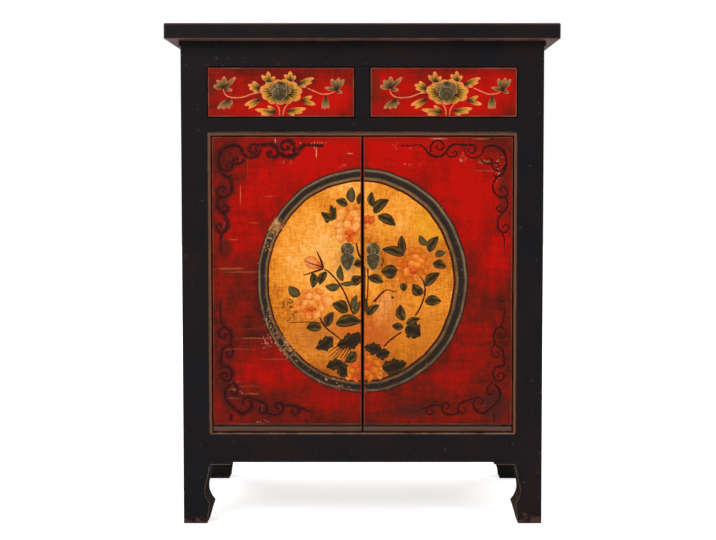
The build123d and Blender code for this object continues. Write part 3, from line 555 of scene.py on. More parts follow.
def mixed(first, second, share):
    """Colours between two others: share is an array from 0 to 1."""
    share = np.clip(share, 0, 1)[..., None]
    return np.asarray(first) * (1 - share) + np.asarray(second) * share


def relief(name, shapes, made, body, seam=0):
    """Paint a fraction of a millimetre proud of a board: one closed mesh of thin rounded slabs.

    Each shape is a grid of x, z places, their colours and a lift in mm. It gets a front that rises
    to its lift in the middle, a back sunk 0.2 mm into the board, and walls round its rim. With a
    seam of -1 or 1 everything is cut off at the inner edge of the left or right door.
    """
    points, quads, paints = [], [], []
    start = 0
    for grid, paint, lift in shapes:
        rows, columns = grid.shape[:2]
        count = rows * columns
        paint = np.broadcast_to(paint, (rows, columns, 4))
        over = grid[:-1, 1:] - grid[:-1, :-1]
        up = grid[1:, :-1] - grid[:-1, :-1]
        if np.sum(over[..., 0] * up[..., 1] - over[..., 1] * up[..., 0]) < 0:
            grid, paint = grid[::-1], paint[::-1]
        u = np.linspace(-1, 1, rows)[:, None]
        v = np.linspace(-1, 1, columns)
        rise = lift * (0.4 + 0.6 * (1 - u**8) * (1 - v**4))
        front = np.stack([grid[..., 0], face_y - rise, grid[..., 1]], axis=-1).reshape(-1, 3)
        back = front * (1, 0, 1) + (0, face_y + 0.2, 0)
        ids = np.arange(count).reshape(rows, columns)
        cells = np.stack([ids[:-1, :-1], ids[:-1, 1:], ids[1:, 1:], ids[1:, :-1]], axis=-1)
        cells = cells.reshape(-1, 4)
        rim = np.concatenate([ids[0, :-1], ids[:-1, -1], ids[-1, :0:-1], ids[:0:-1, 0]])
        ahead = np.roll(rim, -1)
        walls = np.stack([rim, rim + count, ahead + count, ahead], axis=-1)
        quads.append(np.concatenate([cells, cells[:, ::-1] + count, walls]) + start)
        points += [front, back]
        paints += [paint.reshape(-1, 4)] * 2
        start += 2 * count
    mesh = bpy.data.meshes.new(name)
    mesh.from_pydata(np.concatenate(points) / 1000, [], np.concatenate(quads).tolist())
    layer = mesh.color_attributes.new("paint", "FLOAT_COLOR", "POINT")
    layer.data.foreach_set("color", np.concatenate(paints).ravel())
    if seam:
        cut = bmesh.new()
        cut.from_mesh(mesh)
        parts = cut.verts[:] + cut.edges[:] + cut.faces[:]
        edge = (seam * seam_edge / 1000, 0, 0)
        bmesh.ops.bisect_plane(cut, geom=parts, plane_co=edge, plane_no=(-seam, 0, 0), clear_outer=True)
        bmesh.ops.holes_fill(cut, edges=[e for e in cut.edges if e.is_boundary], sides=0)
        cut.to_mesh(mesh)
        cut.free()
    mesh.polygons.foreach_set("use_smooth", np.ones(len(mesh.polygons), bool))
    mesh.set_sharp_from_angle(angle=math.radians(35))
    mesh.materials.append(made)
    piece = put(name, mesh)
    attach(piece, body)


# As on the doors: x, z, half width and half height in mm, and strength or colour and strength.
gold_patches = (
    (-80, 480, 150, 190, 0.88), (-20, 605, 100, 70, 0.75), (-20, 445, 100, 80, 0.75),
    (70, 560, 170, 120, 0.62), (14, 440, 40, 90, 0.62), (120, 400, 130, 160, 0.5),
    (-70, 335, 130, 90, 0.4),
)
gold_stains = (
    (0, 262, 220, 70, "9c4a17", 0.9), (22, 347, 60, 70, "cf5620", 0.6),
    (-28, 352, 50, 30, "d4601f", 0.6), (16, 288, 50, 44, "cc5a1e", 0.6),
    (-18, 281, 50, 44, "cc5a1e", 0.55), (96, 475, 80, 80, "d8662a", 0.55),
    (50, 385, 45, 65, "e07f32", 0.45), (120, 545, 60, 80, "f0a51e", 0.5),
    (110, 350, 100, 80, "cc6e1c", 0.5), (-85, 345, 90, 70, "b8622a", 0.45),
)


def gilding(tree, place):
    """Colour, thread tone and thread height of the field: ochre, pale where the lacquer is thin.

    It is clouded 40 mm and 11 mm across, with a net of fine cracks 14 mm apart.
    """
    light = brightness(tree, place, gold_patches, 0.3)
    for scale, reach in ((24, 0.15), (90, 0.09)):
        clouds = add(tree, "TexNoise", {"Vector": place, "Scale": scale, "Detail": 5.0})
        drift = add(tree, "MapRange", (clouds, 0.3, 0.7, -reach, reach))
        light = add(tree, "Math", (light, drift), operation="ADD")
    tone, threads = cloth(tree, place)
    drift = add(tree, "MapRange", (tone, 0, 1, -0.3, 0.26))
    light = add(tree, "Math", (light, drift), operation="ADD")
    ochres = ((0.0, "be6618"), (0.33, "ea8820"), (0.68, "fda238"), (1.0, "ffbc64"))
    colour = add(tree, "ValToRGB", (light,), stops=ochres)
    coats = []
    for *where, shade, strength in gold_stains:
        grain = add(tree, "MapRange", (clouds, 0.3, 0.65, 0.3, strength + 0.3))
        patch = add(tree, "Math", (spot(tree, place, *where), grain), operation="MULTIPLY")
        coats.append((patch, shade))
    cells = add(tree, "TexVoronoi", {"Vector": place, "Scale": 70.0}, feature="DISTANCE_TO_EDGE")
    coats.append((add(tree, "MapRange", (cells, 0, 0.05, 0.12, 0.0)), "7a3d16"))
    for share, coat in coats:
        colour = add(tree, "Mix", {0: share, 6: colour, 7: coat}, out=2, data_type="RGBA")
    return colour, tone, threads


def half_disc(side, centre, radii):
    """A grid over one half of an ellipse, from the door's inner edge out to its rim."""
    turn = np.linspace(-np.pi / 2, np.pi / 2, 70)
    heights = centre[1] + radii[1] * np.sin(turn)
    rim = np.maximum(side * centre[0] + radii[0] * np.cos(turn), seam_edge + 0.4)
    x = side * (seam_edge + (rim - seam_edge)[:, None] * np.linspace(0, 1, 22))
    return np.stack([x, np.broadcast_to(heights[:, None], x.shape)], axis=-1)


# Gold size under clear lacquer: satin rather than metallic, because it holds more ochre than gold.
gilt, tree, place = material("gilt_ground")
satin(tree, *gilding(tree, place), 0.42, 0.56)
inner_centre = (-3, 440.8)
inner_radii = (166, 179)
under_ring = 1.5
for side, door in doors:
    disc = half_disc(side, inner_centre, [radius + under_ring for radius in inner_radii])
    relief(door + "_gilt_ground", [(disc, np.ones(4), 0.1)], gilt, door)

# ---- ring round the medallion -----------------------------------------------------------------
# A brown-black band between two of worn grey-brown, with a dark outline and a fine red-brown line
# inside, brushed freehand over the edge of the gilt field. It has chipped at the left.

outer_centre = (0, 441.8)
outer_radii = (190.2, 203)


def painted(name, under):
    """Brushed paint: the colours of the strokes, and what lies under them where they have gone.

    The alpha of the paint says how well it covers: the less, the more of the cloth's high places
    and the small patches of a noise, 4 mm across, show the ground.
    """
    made, tree, place = material(name)
    ground, tone, threads = under(tree, place)
    strokes = add(tree, "VertexColor", out=None, layer_name="paint")
    flakes = add(tree, "TexNoise", {"Vector": place, "Scale": 260.0, "Detail": 3.0})
    flakes = add(tree, "Math", (flakes, 1.3, -0.15), operation="MULTIPLY_ADD")
    held = add(tree, "Math", (tone, 0.28, -0.14), operation="MULTIPLY_ADD")
    held = add(tree, "Math", (flakes, held), operation="ADD")
    cover = add(tree, "Math", (held, strokes["Alpha"]), operation="ADD")
    cover = add(tree, "MapRange", (cover, 1.0, 1.16))
    dim = add(tree, "MapRange", (tone, 0, 1, 0.8, 1.2))
    paint = add(tree, "VectorMath", {0: strokes["Color"], 3: dim}, operation="SCALE")
    colour = add(tree, "Mix", {0: cover, 6: ground, 7: paint}, out=2, data_type="RGBA")
    satin(tree, colour, tone, threads, 0.4, 0.54)
    return made


def bared_cloth(tree, place):
    """What shows where the ring has chipped, in spots 8 mm across: pale paste and tan cloth."""
    patches = add(tree, "TexNoise", {"Vector": place, "Scale": 120.0, "Detail": 4.0})
    tans = ((0.36, "6b3a26"), (0.5, "a26a3c"), (0.64, "c99a62"))
    return add(tree, "ValToRGB", (patches,), stops=tans), *cloth(tree, place)


ring_paint = painted("ring_paint", bared_cloth)
# Shares of the way from the outer to the inner edge, with the colour there.
stations = (
    (0.0, "4a160f"), (0.03, "2c1712"), (0.065, "2c1712"), (0.1, "5e4a38"), (0.18, "8c7054"),
    (0.26, "604c3c"), (0.31, "36291f"), (0.46, "2b2420"), (0.62, "30261f"), (0.67, "644a2e"),
    (0.76, "8c6842"), (0.85, "704c2e"), (0.88, "43150a"), (0.97, "4a1809"), (1.0, "6a2c16"),
)
shares = np.array([share for share, shade in stations])
# Where paint has chipped: x, z, half width and half height in mm, and how much of it is lost.
ring_chips = (
    (-156, 541, 16, 14, 0.75), (-166, 510, 14, 22, 0.35), (-135, 323, 26, 30, 0.36),
    (-165, 365, 20, 40, 0.22), (-70, 260, 70, 22, 0.18),
)
for side, door in doors:
    # The brush wavers by about half a millimetre, and smoke has settled most at the bottom.
    turn = np.linspace(-np.pi / 2, np.pi / 2, 300)[:, None]
    wobble = 0.5 * np.sin(9 * turn + side) + 0.35 * np.sin(23 * turn + 2 * side)
    outer_x = outer_centre[0] + side * outer_radii[0] * np.cos(turn)
    inner_x = inner_centre[0] + side * inner_radii[0] * np.cos(turn)
    outer_z = outer_centre[1] + outer_radii[1] * np.sin(turn)
    inner_z = inner_centre[1] + inner_radii[1] * np.sin(turn)
    x = outer_x * (1 - shares) + inner_x * shares + side * wobble * np.cos(turn)
    z = outer_z * (1 - shares) + inner_z * shares + wobble * np.sin(turn)
    smoke = 0.20 - 0.22 * np.sin(turn) + 0.14 * np.sin(11 * turn + 2 * side + 5 * shares)
    smoke = smoke + 0.12 * np.sin(41 * turn + 3 * side - 9 * shares)
    smoke = smoke + 0.1 * np.sin(97 * turn + 14 * shares) * np.sin(63 * turn - 5 * shares)
    colours = mixed([linear(shade) for share, shade in stations], linear("2b211a"), smoke)
    lost = np.zeros(x.shape)
    for px, pz, across, high, strength in ring_chips:
        lost += strength * np.exp(-(((x - px) / across) ** 2) - ((z - pz) / high) ** 2)
    colours[..., 3] = 0.93 - np.clip(lost, 0, 0.85)
    relief(door + "_ring", [(np.stack([x, z], axis=-1), colours, 0.16)], ring_paint, door, side)

# ---- peonies of the medallion -----------------------------------------------------------------
# Full-blown peonies in white and vermilion tempera, laid petal by petal from the outside in. Each
# petal is pale in its middle, orange along its thin rim and red at its foot.

tempera_on_gilt = painted("tempera_on_gilt", gilding)

# Middle, body, rim and foot of a petal.
petal_shades = {
    "pale": ("fdae5a", "f4903c", "d2561a", "e26a24"),
    "warm": ("f39038", "e67620", "c04c10", "d25212"),
    "amber": ("e07a1e", "ce6012", "9e420a", "bc480a"),
    "red": ("e26424", "cf4c10", "a83204", "b83004"),
    "faint": ("ee9234", "e48626", "cc6c1c", "de7c2a"),
}
# Heart x, z of each flower in mm, and its petals: x, z, width, length and shade, lowest first.
left_flowers = (
    (-23, 528, (
        (-54, 537, 11, 14, "faint"), (-56, 524, 9, 11, "faint"), (-10, 576, 14, 11, "warm"),
        (-21, 571, 16, 11, "warm"), (-39, 565, 18, 13, "pale"), (-15, 562, 20, 14, "pale"),
        (-40, 554, 16, 13, "pale"), (-24, 554, 18, 14, "warm"), (-10, 552, 14, 14, "pale"),
        (-40, 542, 16, 14, "pale"), (-11, 542, 14, 14, "pale"), (-39, 531, 16, 16, "pale"),
        (-27, 542, 15, 20, "pale"), (-14, 537, 15, 16, "pale"), (-6, 528, 11, 14, "warm"),
        (-39, 522, 20, 18, "pale"), (-13, 519, 20, 15, "warm"), (-24, 518, 11, 11, "red"),
        (-23, 528, 17, 10, "red"),
    )),
    (-91, 390, (
        (-59, 416, 11, 8, "faint"), (-70, 384, 12, 10, "faint"), (-103, 422, 15, 11, "warm"),
        (-92, 423, 15, 10, "warm"), (-78, 422, 18, 12, "warm"), (-107, 414, 11, 14, "warm"),
        (-114, 404, 15, 12, "warm"), (-64, 405, 22, 21, "pale"), (-114, 393, 12, 12, "warm"),
        (-108, 382, 15, 12, "warm"), (-82, 382, 17, 12, "pale"), (-96, 380, 15, 14, "warm"),
        (-95, 414, 17, 14, "pale"), (-75, 393, 15, 11, "pale"), (-106, 394, 14, 12, "warm"),
        (-102, 402, 15, 12, "pale"), (-82, 411, 15, 15, "pale"), (-77, 402, 10, 12, "warm"),
        (-91, 402, 12, 11, "pale"), (-99, 390, 8, 7, "red"), (-91, 391, 14, 8, "red"),
    )),
    (-8, 268, (
        (-23, 279, 18, 18, "amber"), (-13, 288, 15, 15, "red"), (-25, 269, 16, 13, "warm"),
        (-17, 278, 13, 13, "amber"), (-8, 278, 11, 15, "red"), (-12, 264, 13, 10, "red"),
    )),
)
right_flowers = (
    (2, 528, (
        (7, 529, 11, 11, "faint"), (14, 537, 16, 11, "faint"), (20, 526, 20, 13, "faint"),
        (8, 541, 11, 13, "warm"), (16, 551, 11, 17, "red"), (8, 552, 11, 16, "red"),
    )),
    (93, 460, (
        (62, 466, 12, 12, "faint"), (65, 445, 14, 12, "faint"), (97, 448, 14, 11, "faint"),
        (79, 492, 17, 17, "amber"), (89, 496, 17, 14, "amber"), (101, 495, 17, 14, "amber"),
        (110, 486, 17, 15, "amber"), (67, 475, 17, 14, "amber"), (115, 472, 14, 14, "amber"),
        (113, 460, 15, 12, "amber"), (68, 455, 17, 14, "amber"), (74, 443, 14, 14, "amber"),
        (86, 445, 17, 14, "amber"), (83, 481, 17, 14, "amber"), (104, 478, 17, 12, "warm"),
        (77, 470, 15, 14, "red"), (95, 485, 17, 12, "warm"), (106, 467, 15, 12, "amber"),
        (80, 460, 17, 12, "warm"), (103, 457, 15, 11, "amber"), (89, 472, 15, 15, "warm"),
        (98, 470, 14, 14, "warm"), (92, 461, 17, 12, "red"),
    )),
    (11, 271, (
        (34, 281, 13, 11, "faint"), (31, 271, 18, 10, "faint"), (13, 301, 18, 15, "amber"),
        (26, 292, 18, 13, "amber"), (21, 279, 20, 16, "amber"), (9, 288, 16, 15, "red"),
        (8, 274, 13, 15, "amber"), (14, 268, 18, 10, "amber"),
    )),
)


def lie_of(foot, tip):
    """The way from a foot to a tip, and the unit direction square to it."""
    along = np.subtract(tip, foot)
    return along, np.array([-along[1], along[0]]) / np.linalg.norm(along)


def petal(foot, tip, width, shades, cover):
    """One petal as a grid, widest near its round tip, with its colours.

    Half widths follow the sine of pi times the share along to the power 1.5, the whole to 0.55.
    """
    t = np.linspace(0, 1, 15)[:, None]
    v = np.linspace(-1, 1, 15)
    along, side = lie_of(foot, tip)
    half = 0.5 * width * np.sin(np.pi * (0.05 + 0.92 * t) ** 1.5) ** 0.55 + 0.12
    grid = foot + along * (t - 0.10 * v**2 * t)[..., None] + side * (v * half)[..., None]
    pale, body, rim, red = (linear(shade) for shade in shades)
    off = np.maximum(np.abs(v), np.hypot(0.7 * v, (t - 0.5) / 0.5))
    colours = mixed(pale, body, (np.hypot(v, (t - 0.7) / 0.6) - 0.2) / 0.7)
    colours = mixed(colours, red, 0.8 - t / 0.5)
    outer = ((t - 0.25) / 0.35).clip(0, 1)
    colours = mixed(colours, rim, ((off - 0.82) / 0.12).clip(0, 1) * outer * 0.9)
    colours[..., 3] = cover
    return grid, colours


def bloom(flowers):
    """Petals of all flowers: each points away from the heart of its flower."""
    shapes = []
    for heart_x, heart_z, petals in flowers:
        for k, (x, z, across, length, kind) in enumerate(petals):
            ray = np.array([x - heart_x, z - heart_z + 2.0])
            ray *= 0.56 * length / np.linalg.norm(ray)
            middle = np.array([x, z])
            cover = 0.55 if kind == "faint" else 0.94
            laid = petal(middle - ray, middle + ray, across * 1.12, petal_shades[kind], cover)
            shapes.append((*laid, 0.12 + 0.012 * k))
    return shapes


for (side, door), flowers in zip(doors, (left_flowers, right_flowers)):
    relief(door + "_peonies", bloom(flowers), tempera_on_gilt, door, side)

# ---- leaves of the medallion ------------------------------------------------------------------
# Pointed leaves in ink and malachite green, each in two or three pulls of a full brush, so that the
# middle is nearly black and the rim and the veins stay olive.

# Middle, ring and rim of a leaf.
leaf_shades = {
    "inky": ("261a14", "6c5626", "321a0a"),
    "green": ("5e5230", "43381c", "291d0d"),
    "worn": ("2c2016", "5c4420", "4a2a10"),
    "ragged": ("271c15", "4c3a1e", "3a200e"),
}
# Base x, z, tip x, z, width, bend and kind, in mm.
left_leaves = (
    (-19, 583, -19, 610.5, 14.5, 2, "green"), (-27, 577.5, -47.5, 587, 13, -2, "inky"),
    (-7, 580, -4, 600, 9.5, 0, "inky"), (-51, 552.5, -74, 565.5, 12, 2, "inky"),
    (-54.5, 551, -56.5, 578.5, 10.5, -2, "inky"), (-49.5, 552.5, -48.5, 575, 8, 2, "inky"),
    (-60, 548.5, -68, 550, 5.5, 0, "inky"), (-36, 441.5, -40, 470.5, 11, 3, "green"),
    (-41.5, 432, -67, 432, 13, 2, "green"), (-39, 436, -10, 441.5, 8, -2, "green"),
    (-19, 435, -0.5, 449.5, 16, 2, "inky"), (-88.5, 456, -89.5, 429.5, 13.5, 2, "inky"),
    (-65.5, 458.5, -77.5, 435, 12.5, -2, "inky"), (-113, 415, -132.5, 432, 16, 2, "green"),
    (-123, 395, -149, 404.5, 9, 0, "worn"), (-127.5, 396.5, -146, 392.5, 7, 0, "worn"),
    (-123, 398, -135.5, 411, 6.5, 0, "worn"), (-117, 388.5, -135.5, 368.5, 12, 2, "worn"),
    (-119.5, 386, -123, 369.5, 6.5, 0, "worn"), (-27, 386, -54.5, 400.5, 20, -4, "inky"),
    (-17.5, 391, -10, 416.5, 10, 2, "green"), (-14.5, 382, -5, 405.5, 9, 0, "green"),
    (-65.5, 359.5, -52.5, 386, 14.5, 2, "inky"), (-74, 358, -101.5, 357, 16.5, -2, "inky"),
    (-48, 364.5, -2, 368.5, 20, 4, "inky"), (-53.5, 339.5, -84, 319.5, 18.5, 3, "ragged"),
    (-12.5, 313, -31, 294.5, 16, 2, "inky"), (-36, 294.5, -65.5, 286, 16, 0, "ragged"),
    (-31, 280, -40, 268.5, 16, 0, "ragged"), (-44, 288, -28.5, 277.5, 18.5, 0, "ragged"),
    (-0.5, 476, -15, 470.5, 13, 0, "inky"),
)
right_leaves = (
    (18, 576, 16.5, 602, 12, 2, "inky"), (20.5, 564.5, 47, 588, 17, 4, "inky"),
    (28, 559, 59.5, 542, 16.5, 3, "inky"), (75, 488.5, 35.5, 499, 15.5, -3, "inky"),
    (74.5, 491.5, 70.5, 524, 13.5, 2, "inky"), (116, 506, 102, 524, 11, 2, "green"),
    (119.5, 494.5, 136, 522, 15.5, 3, "inky"), (130.5, 487.5, 149.5, 493.5, 11, 1, "green"),
    (126.5, 473.5, 150.5, 466.5, 14.5, 2, "inky"), (63, 461, 34, 459.5, 22.5, 2, "inky"),
    (11, 449, 37.5, 439, 14.5, 2, "inky"), (113, 433, 138.5, 456.5, 16, 3, "inky"),
    (73.5, 439, 75, 423, 12, 0, "inky"), (108.5, 417.5, 90.5, 436, 17, 3, "inky"),
    (112.5, 404.5, 141.5, 405.5, 17, 2, "inky"), (73.5, 370, 68, 399, 16, 3, "inky"),
    (79, 363.5, 103.5, 374, 11, 2, "inky"), (73.5, 358, 53, 361, 12, 0, "inky"),
    (77.5, 357, 104.5, 342.5, 24, 3, "ragged"), (8.5, 380.5, 29.5, 398.5, 12.5, 2, "inky"),
    (7.5, 383, 6, 411, 6, 0, "inky"), (35, 316, 3.5, 322.5, 17, 0, "ragged"),
    (24.5, 306.5, 49.5, 313, 16, 0, "ragged"), (35.5, 284, 79.5, 293.5, 22.5, -3, "ragged"),
)


def leaf(base_x, base_z, tip_x, tip_z, width, bend, kind):
    """One leaf as a grid about a bent midrib, with its colours, veins and cover.

    Half widths follow the sine of pi times the share along to the power 0.85, the whole to 0.8.
    """
    t = np.linspace(0, 1, 17)[:, None]
    v = np.linspace(-1, 1, 17)
    base = (base_x, base_z)
    along, side = lie_of(base, (tip_x, tip_z))
    half = 0.56 * width * np.sin(np.pi * (0.02 + 0.96 * t) ** 0.85) ** 0.8 + 0.15
    edge = v
    if kind == "ragged":
        half = half * (1 + 0.28 * np.sin(19 * t + base_x) ** 2)
        edge = v + 0.16 * np.cos(17 * t + 2 * v + base_z) * np.abs(v)
    rib = base + along * t + side * bend * np.sin(np.pi * t)
    grid = rib[:, None] + side * (edge * half)[..., None]
    core, ring, rim = (linear(shade) for shade in leaf_shades[kind])
    away = np.abs(v) + 0.12 * np.sin(11 * t + 3 * v + base_x)
    veins = np.sin(24 * (t - 0.4 * np.abs(v))) ** 6 * 0.2 + (np.abs(v) < 0.08) * 0.12
    olive = np.exp(-(((away - 0.6) / 0.24) ** 2)) * (0.75 + 0.25 * np.sin(7 * t + base_z))
    colours = mixed(core, ring, np.maximum(olive, veins))
    colours = mixed(colours, rim, (np.abs(v) - 0.76) / 0.16)
    colours[..., 3] = 0.52 if kind == "worn" else 0.97
    return grid, colours, 0.3


for (side, door), leaves in zip(doors, (left_leaves, right_leaves)):
    relief(door + "_leaves", [leaf(*row) for row in leaves], tempera_on_gilt, door, side)

# ---- stems, bud and bird of the medallion -----------------------------------------------------
# Drawn with the point of the brush in ink and burnt umber: each stroke swells and thins, and the
# bird is only a back, a beak, an eye and a few feathers over an orange wash.

# Points of each stroke and its widths along them, in mm. The first three of the bird are its back
# and beak, in ink, and the others its feathers.
left_stems = (
    (((-70.5, 464), (-60, 457.5), (-44, 440), (-31, 417.5), (-20.5, 391), (-15.5, 380.5)),
      (1.8, 2.4, 1.8)),
    (((-70.5, 464), (-74.5, 478.5), (-83, 497)), (3.8, 3.2, 0.8)),
    (((-70.5, 464), (-86.5, 458.5), (-106.5, 452)), (3.2, 2.6, 0.8)),
    (((-70.5, 466.5), (-91.5, 473), (-105, 479)), (2.6, 2.4, 0.8)),
    (((-77, 375.5), (-68, 359.5), (-52, 346), (-40, 337)), (2.4, 2.2, 1.6)),
    (((-132.5, 366), (-105, 367.5), (-73, 366), (-65.5, 366)), (0.8, 1, 1)),
    (((-11, 510), (-7, 491.5), (-1.5, 481)), (1.8, 2.4, 2.6)),
    (((-33.5, 325), (-47, 316), (-60, 304)), (1.6, 1, 0.6)),
    (((-32, 324), (-44, 313), (-54.5, 301)), (1.6, 1, 0.6)),
    (((-30.5, 322.5), (-40, 312), (-48, 301)), (1.6, 1, 0.6)),
    (((-27, 322), (-33.5, 312), (-40, 302)), (1.6, 1, 0.6)),
    (((-23, 322), (-29.5, 309), (-33.5, 302)), (1.4, 1, 0.6)),
    (((-36, 327), (-49.5, 321), (-60, 313)), (1.6, 1, 0.6)),
    (((-23, 318.5), (-20.5, 309), (-23, 303.5)), (1, 1, 0.6)),
)
right_stems = (
    (((100, 456), (110.5, 439), (112, 417.5), (104, 394), (94.5, 378)), (1.6, 2.6, 2.2)),
    (((71, 350), (51, 335.5), (38, 322.5)), (2.2, 2.4, 2.4)),
    (((4, 468), (4.5, 439), (4, 412.5), (3.5, 386)), (1.8, 1.4, 1.4)),
    (((9.5, 465), (10, 439), (8.5, 412.5), (8, 386)), (1.8, 1.6, 1.4)),
    (((36.5, 485), (37.5, 477), (34, 468)), (1, 1.6, 0.8)),
)
bird_lines = (
    (((20.5, 404), (32.5, 417.5), (43, 425.5), (53, 424)), (3.2, 2.4, 1.4)),
    (((52.5, 421.5), (59, 423.5), (65, 425.5)), (1.4, 1, 0.6)),
    (((52.5, 423.5), (57.5, 422.5), (63, 417.5)), (0.8, 0.8, 0.6)),
    (((32.5, 415), (30.5, 396.5), (26.5, 375.5), (19.5, 357)), (0.8, 1, 0.8)),
    (((38, 416.5), (40, 396.5), (38.5, 372.5), (32.5, 351.5)), (0.8, 0.8, 0.6)),
    (((44.5, 415), (47, 394), (47, 370), (42, 349)), (0.8, 0.8, 0.6)),
    (((60.5, 411), (61.5, 396.5), (57.5, 375.5), (47, 357)), (0.8, 1, 0.8)),
    (((8.5, 370), (16.5, 363.5), (19.5, 351.5), (16.5, 341)), (0.8, 0.8, 0.6)),
    (((24.5, 362), (27, 351.5), (25, 338.5)), (0.8, 0.8, 0.6)),
    (((31, 380.5), (42, 383), (52.5, 380.5)), (0.6, 0.8, 0.6)),
    (((32.5, 367.5), (40.5, 369.5), (49.5, 367.5)), (0.6, 0.8, 0.6)),
    (((12.5, 354), (19.5, 358), (32.5, 357)), (0.6, 0.8, 0.6)),
)


def stroke(points, widths, colour, cover=(0.8, 1.0), lift=0.2):
    """A brush stroke along a smooth line through the points (Catmull-Rom), as a grid.

    Its widths are spread evenly along it, and its cover is least at the sides.
    """
    p = np.array(points, float)
    p = np.vstack([2 * p[0] - p[1], p, 2 * p[-1] - p[-2]])
    t = np.linspace(0, 1, 9, endpoint=False)[None, :, None]
    a, b, c, d = (p[i : len(p) - 3 + i, None] for i in range(4))
    line = 2 * b + (c - a) * t + (2 * a - 5 * b + 4 * c - d) * t**2 + (3 * b - a - 3 * c + d) * t**3
    line = np.vstack([0.5 * line.reshape(-1, 2), p[-2]])
    ahead = np.gradient(line, axis=0)
    side = np.stack([-ahead[:, 1], ahead[:, 0]], axis=1)
    side /= np.linalg.norm(side, axis=1, keepdims=True)
    share = np.linspace(0, 1, len(line))
    width = np.interp(share, np.linspace(0, 1, len(widths)), widths)
    width = width * (1 + 0.1 * np.sin(31 * share))
    v = np.linspace(-1, 1, 5)
    grid = line[:, None] + side[:, None] * (0.5 * v * width[:, None])[..., None]
    colours = np.broadcast_to(linear(colour), (*grid.shape[:2], 4)).copy()
    colours[..., 3] = cover[1] - (cover[1] - cover[0]) * np.abs(v) ** 3
    return grid, colours, lift


bud = petal((-73, 465.5), (-105, 482), 24, ("f29a54", "e8742c", "c04412", "b83c10"), 1.0)
stems = [(*bud, 0.18)]
stems += [stroke(points, np.array(widths) * 1.15 + 0.7, "431c12") for points, widths in left_stems]
relief("left_door_stems", stems, tempera_on_gilt, "left_door", -1)
tail = [leaf(2, 342, -46, 324, 21, 0, "ragged"), leaf(-8, 335, -40, 327, 14, 3, "ragged")]
relief("left_door_bird_tail", tail, tempera_on_gilt, "left_door", -1)
stems = [stroke(points, np.array(widths) * 1.2 + 0.5, "4c2014") for points, widths in right_stems]
relief("right_door_stems", stems, tempera_on_gilt, "right_door", 1)
breast = petal((24, 352), (48, 426), 36, ("f0984a", "e88634", "dc7226", "d86a20"), 0.9)
bird = [(*breast, 0.12)]
for k, (points, widths) in enumerate(bird_lines):
    bird.append(stroke(points, np.array(widths) * 1.3, "c0662c" if k > 2 else "4a1c12"))
eye = leaf(52.5, 410, 56, 414, 4, 0, "inky")
relief("right_door_bird", bird + [eye], tempera_on_gilt, "right_door", 1)

# ---- corner scrolls of the doors --------------------------------------------------------------
# Scrolling grass in thin black lacquer on the red, one branch in each outer corner of each door,
# both ways from the corner. The black has worn into the red, most of all on the left door.

# Points of each stroke on the right door and its widths along them, in mm.
upper_scroll = (
    (((69, 685), (84, 685), (102.5, 686), (111.5, 679.5), (118.5, 671), (130, 665.5), (141.5, 666.5),
      (150, 673.5), (155.5, 682.5), (165, 687.5), (176.5, 686)), (1, 2, 3.2, 2.8, 2.4)),
    (((123, 672.5), (122, 682.5), (128, 692), (137, 694.5), (144.5, 688.5), (144, 680.5), (138, 677),
      (133, 680.5), (135, 685)), (2.4, 2, 1.8, 1.2)),
    (((150, 673.5), (155.5, 665.5), (165, 665.5), (169.5, 671), (165, 674.5), (161.5, 670)),
      (2.4, 2, 1.6, 1)),
    (((176.5, 686), (188, 686), (199.5, 685), (202, 676), (195, 671), (189, 677), (194, 680.5)),
      (2.4, 2.4, 1.8, 1.2)),
    (((181, 680.5), (188, 667.5), (202, 663), (213.5, 670), (218, 677)), (1, 1.8, 1.8, 1.2)),
    (((213.5, 674.5), (220.5, 682.5), (232, 685), (246, 680.5), (256, 669), (257.5, 651.5),
      (253, 637.5), (241, 628.5), (234.5, 633)), (1.6, 3.2, 4, 3.2, 1.8)),
    (((257.5, 651.5), (248, 640), (236.5, 642), (233, 651.5), (241, 655), (243.5, 648), (239, 645.5)),
      (2.4, 2, 1.8, 1.2)),
    (((211, 661), (218, 654), (228.5, 652.5), (232, 658.5), (226, 663), (221.5, 658.5)),
      (1.2, 2, 1.8, 1.2)),
    (((241, 628.5), (234.5, 617), (235.5, 603), (246, 593.5), (257.5, 593.5), (261, 603), (253, 612),
      (246, 607.5), (250.5, 603)), (2, 2.6, 2.4, 1.8, 1.2)),
    (((257.5, 593.5), (261, 579.5), (255, 568), (246, 566), (241, 573), (247, 577.5), (250.5, 570.5)),
      (2, 2.4, 2, 1.2)),
    (((255, 568), (244.5, 554.5), (243.5, 538), (251.5, 529), (261, 533.5), (262, 541.5), (255, 544),
      (253, 537)), (2, 2.6, 2, 1.6, 1.2)),
    (((251.5, 529), (255, 517), (255, 503.5), (256, 487)), (1.6, 1.4, 1, 0.4)),
)
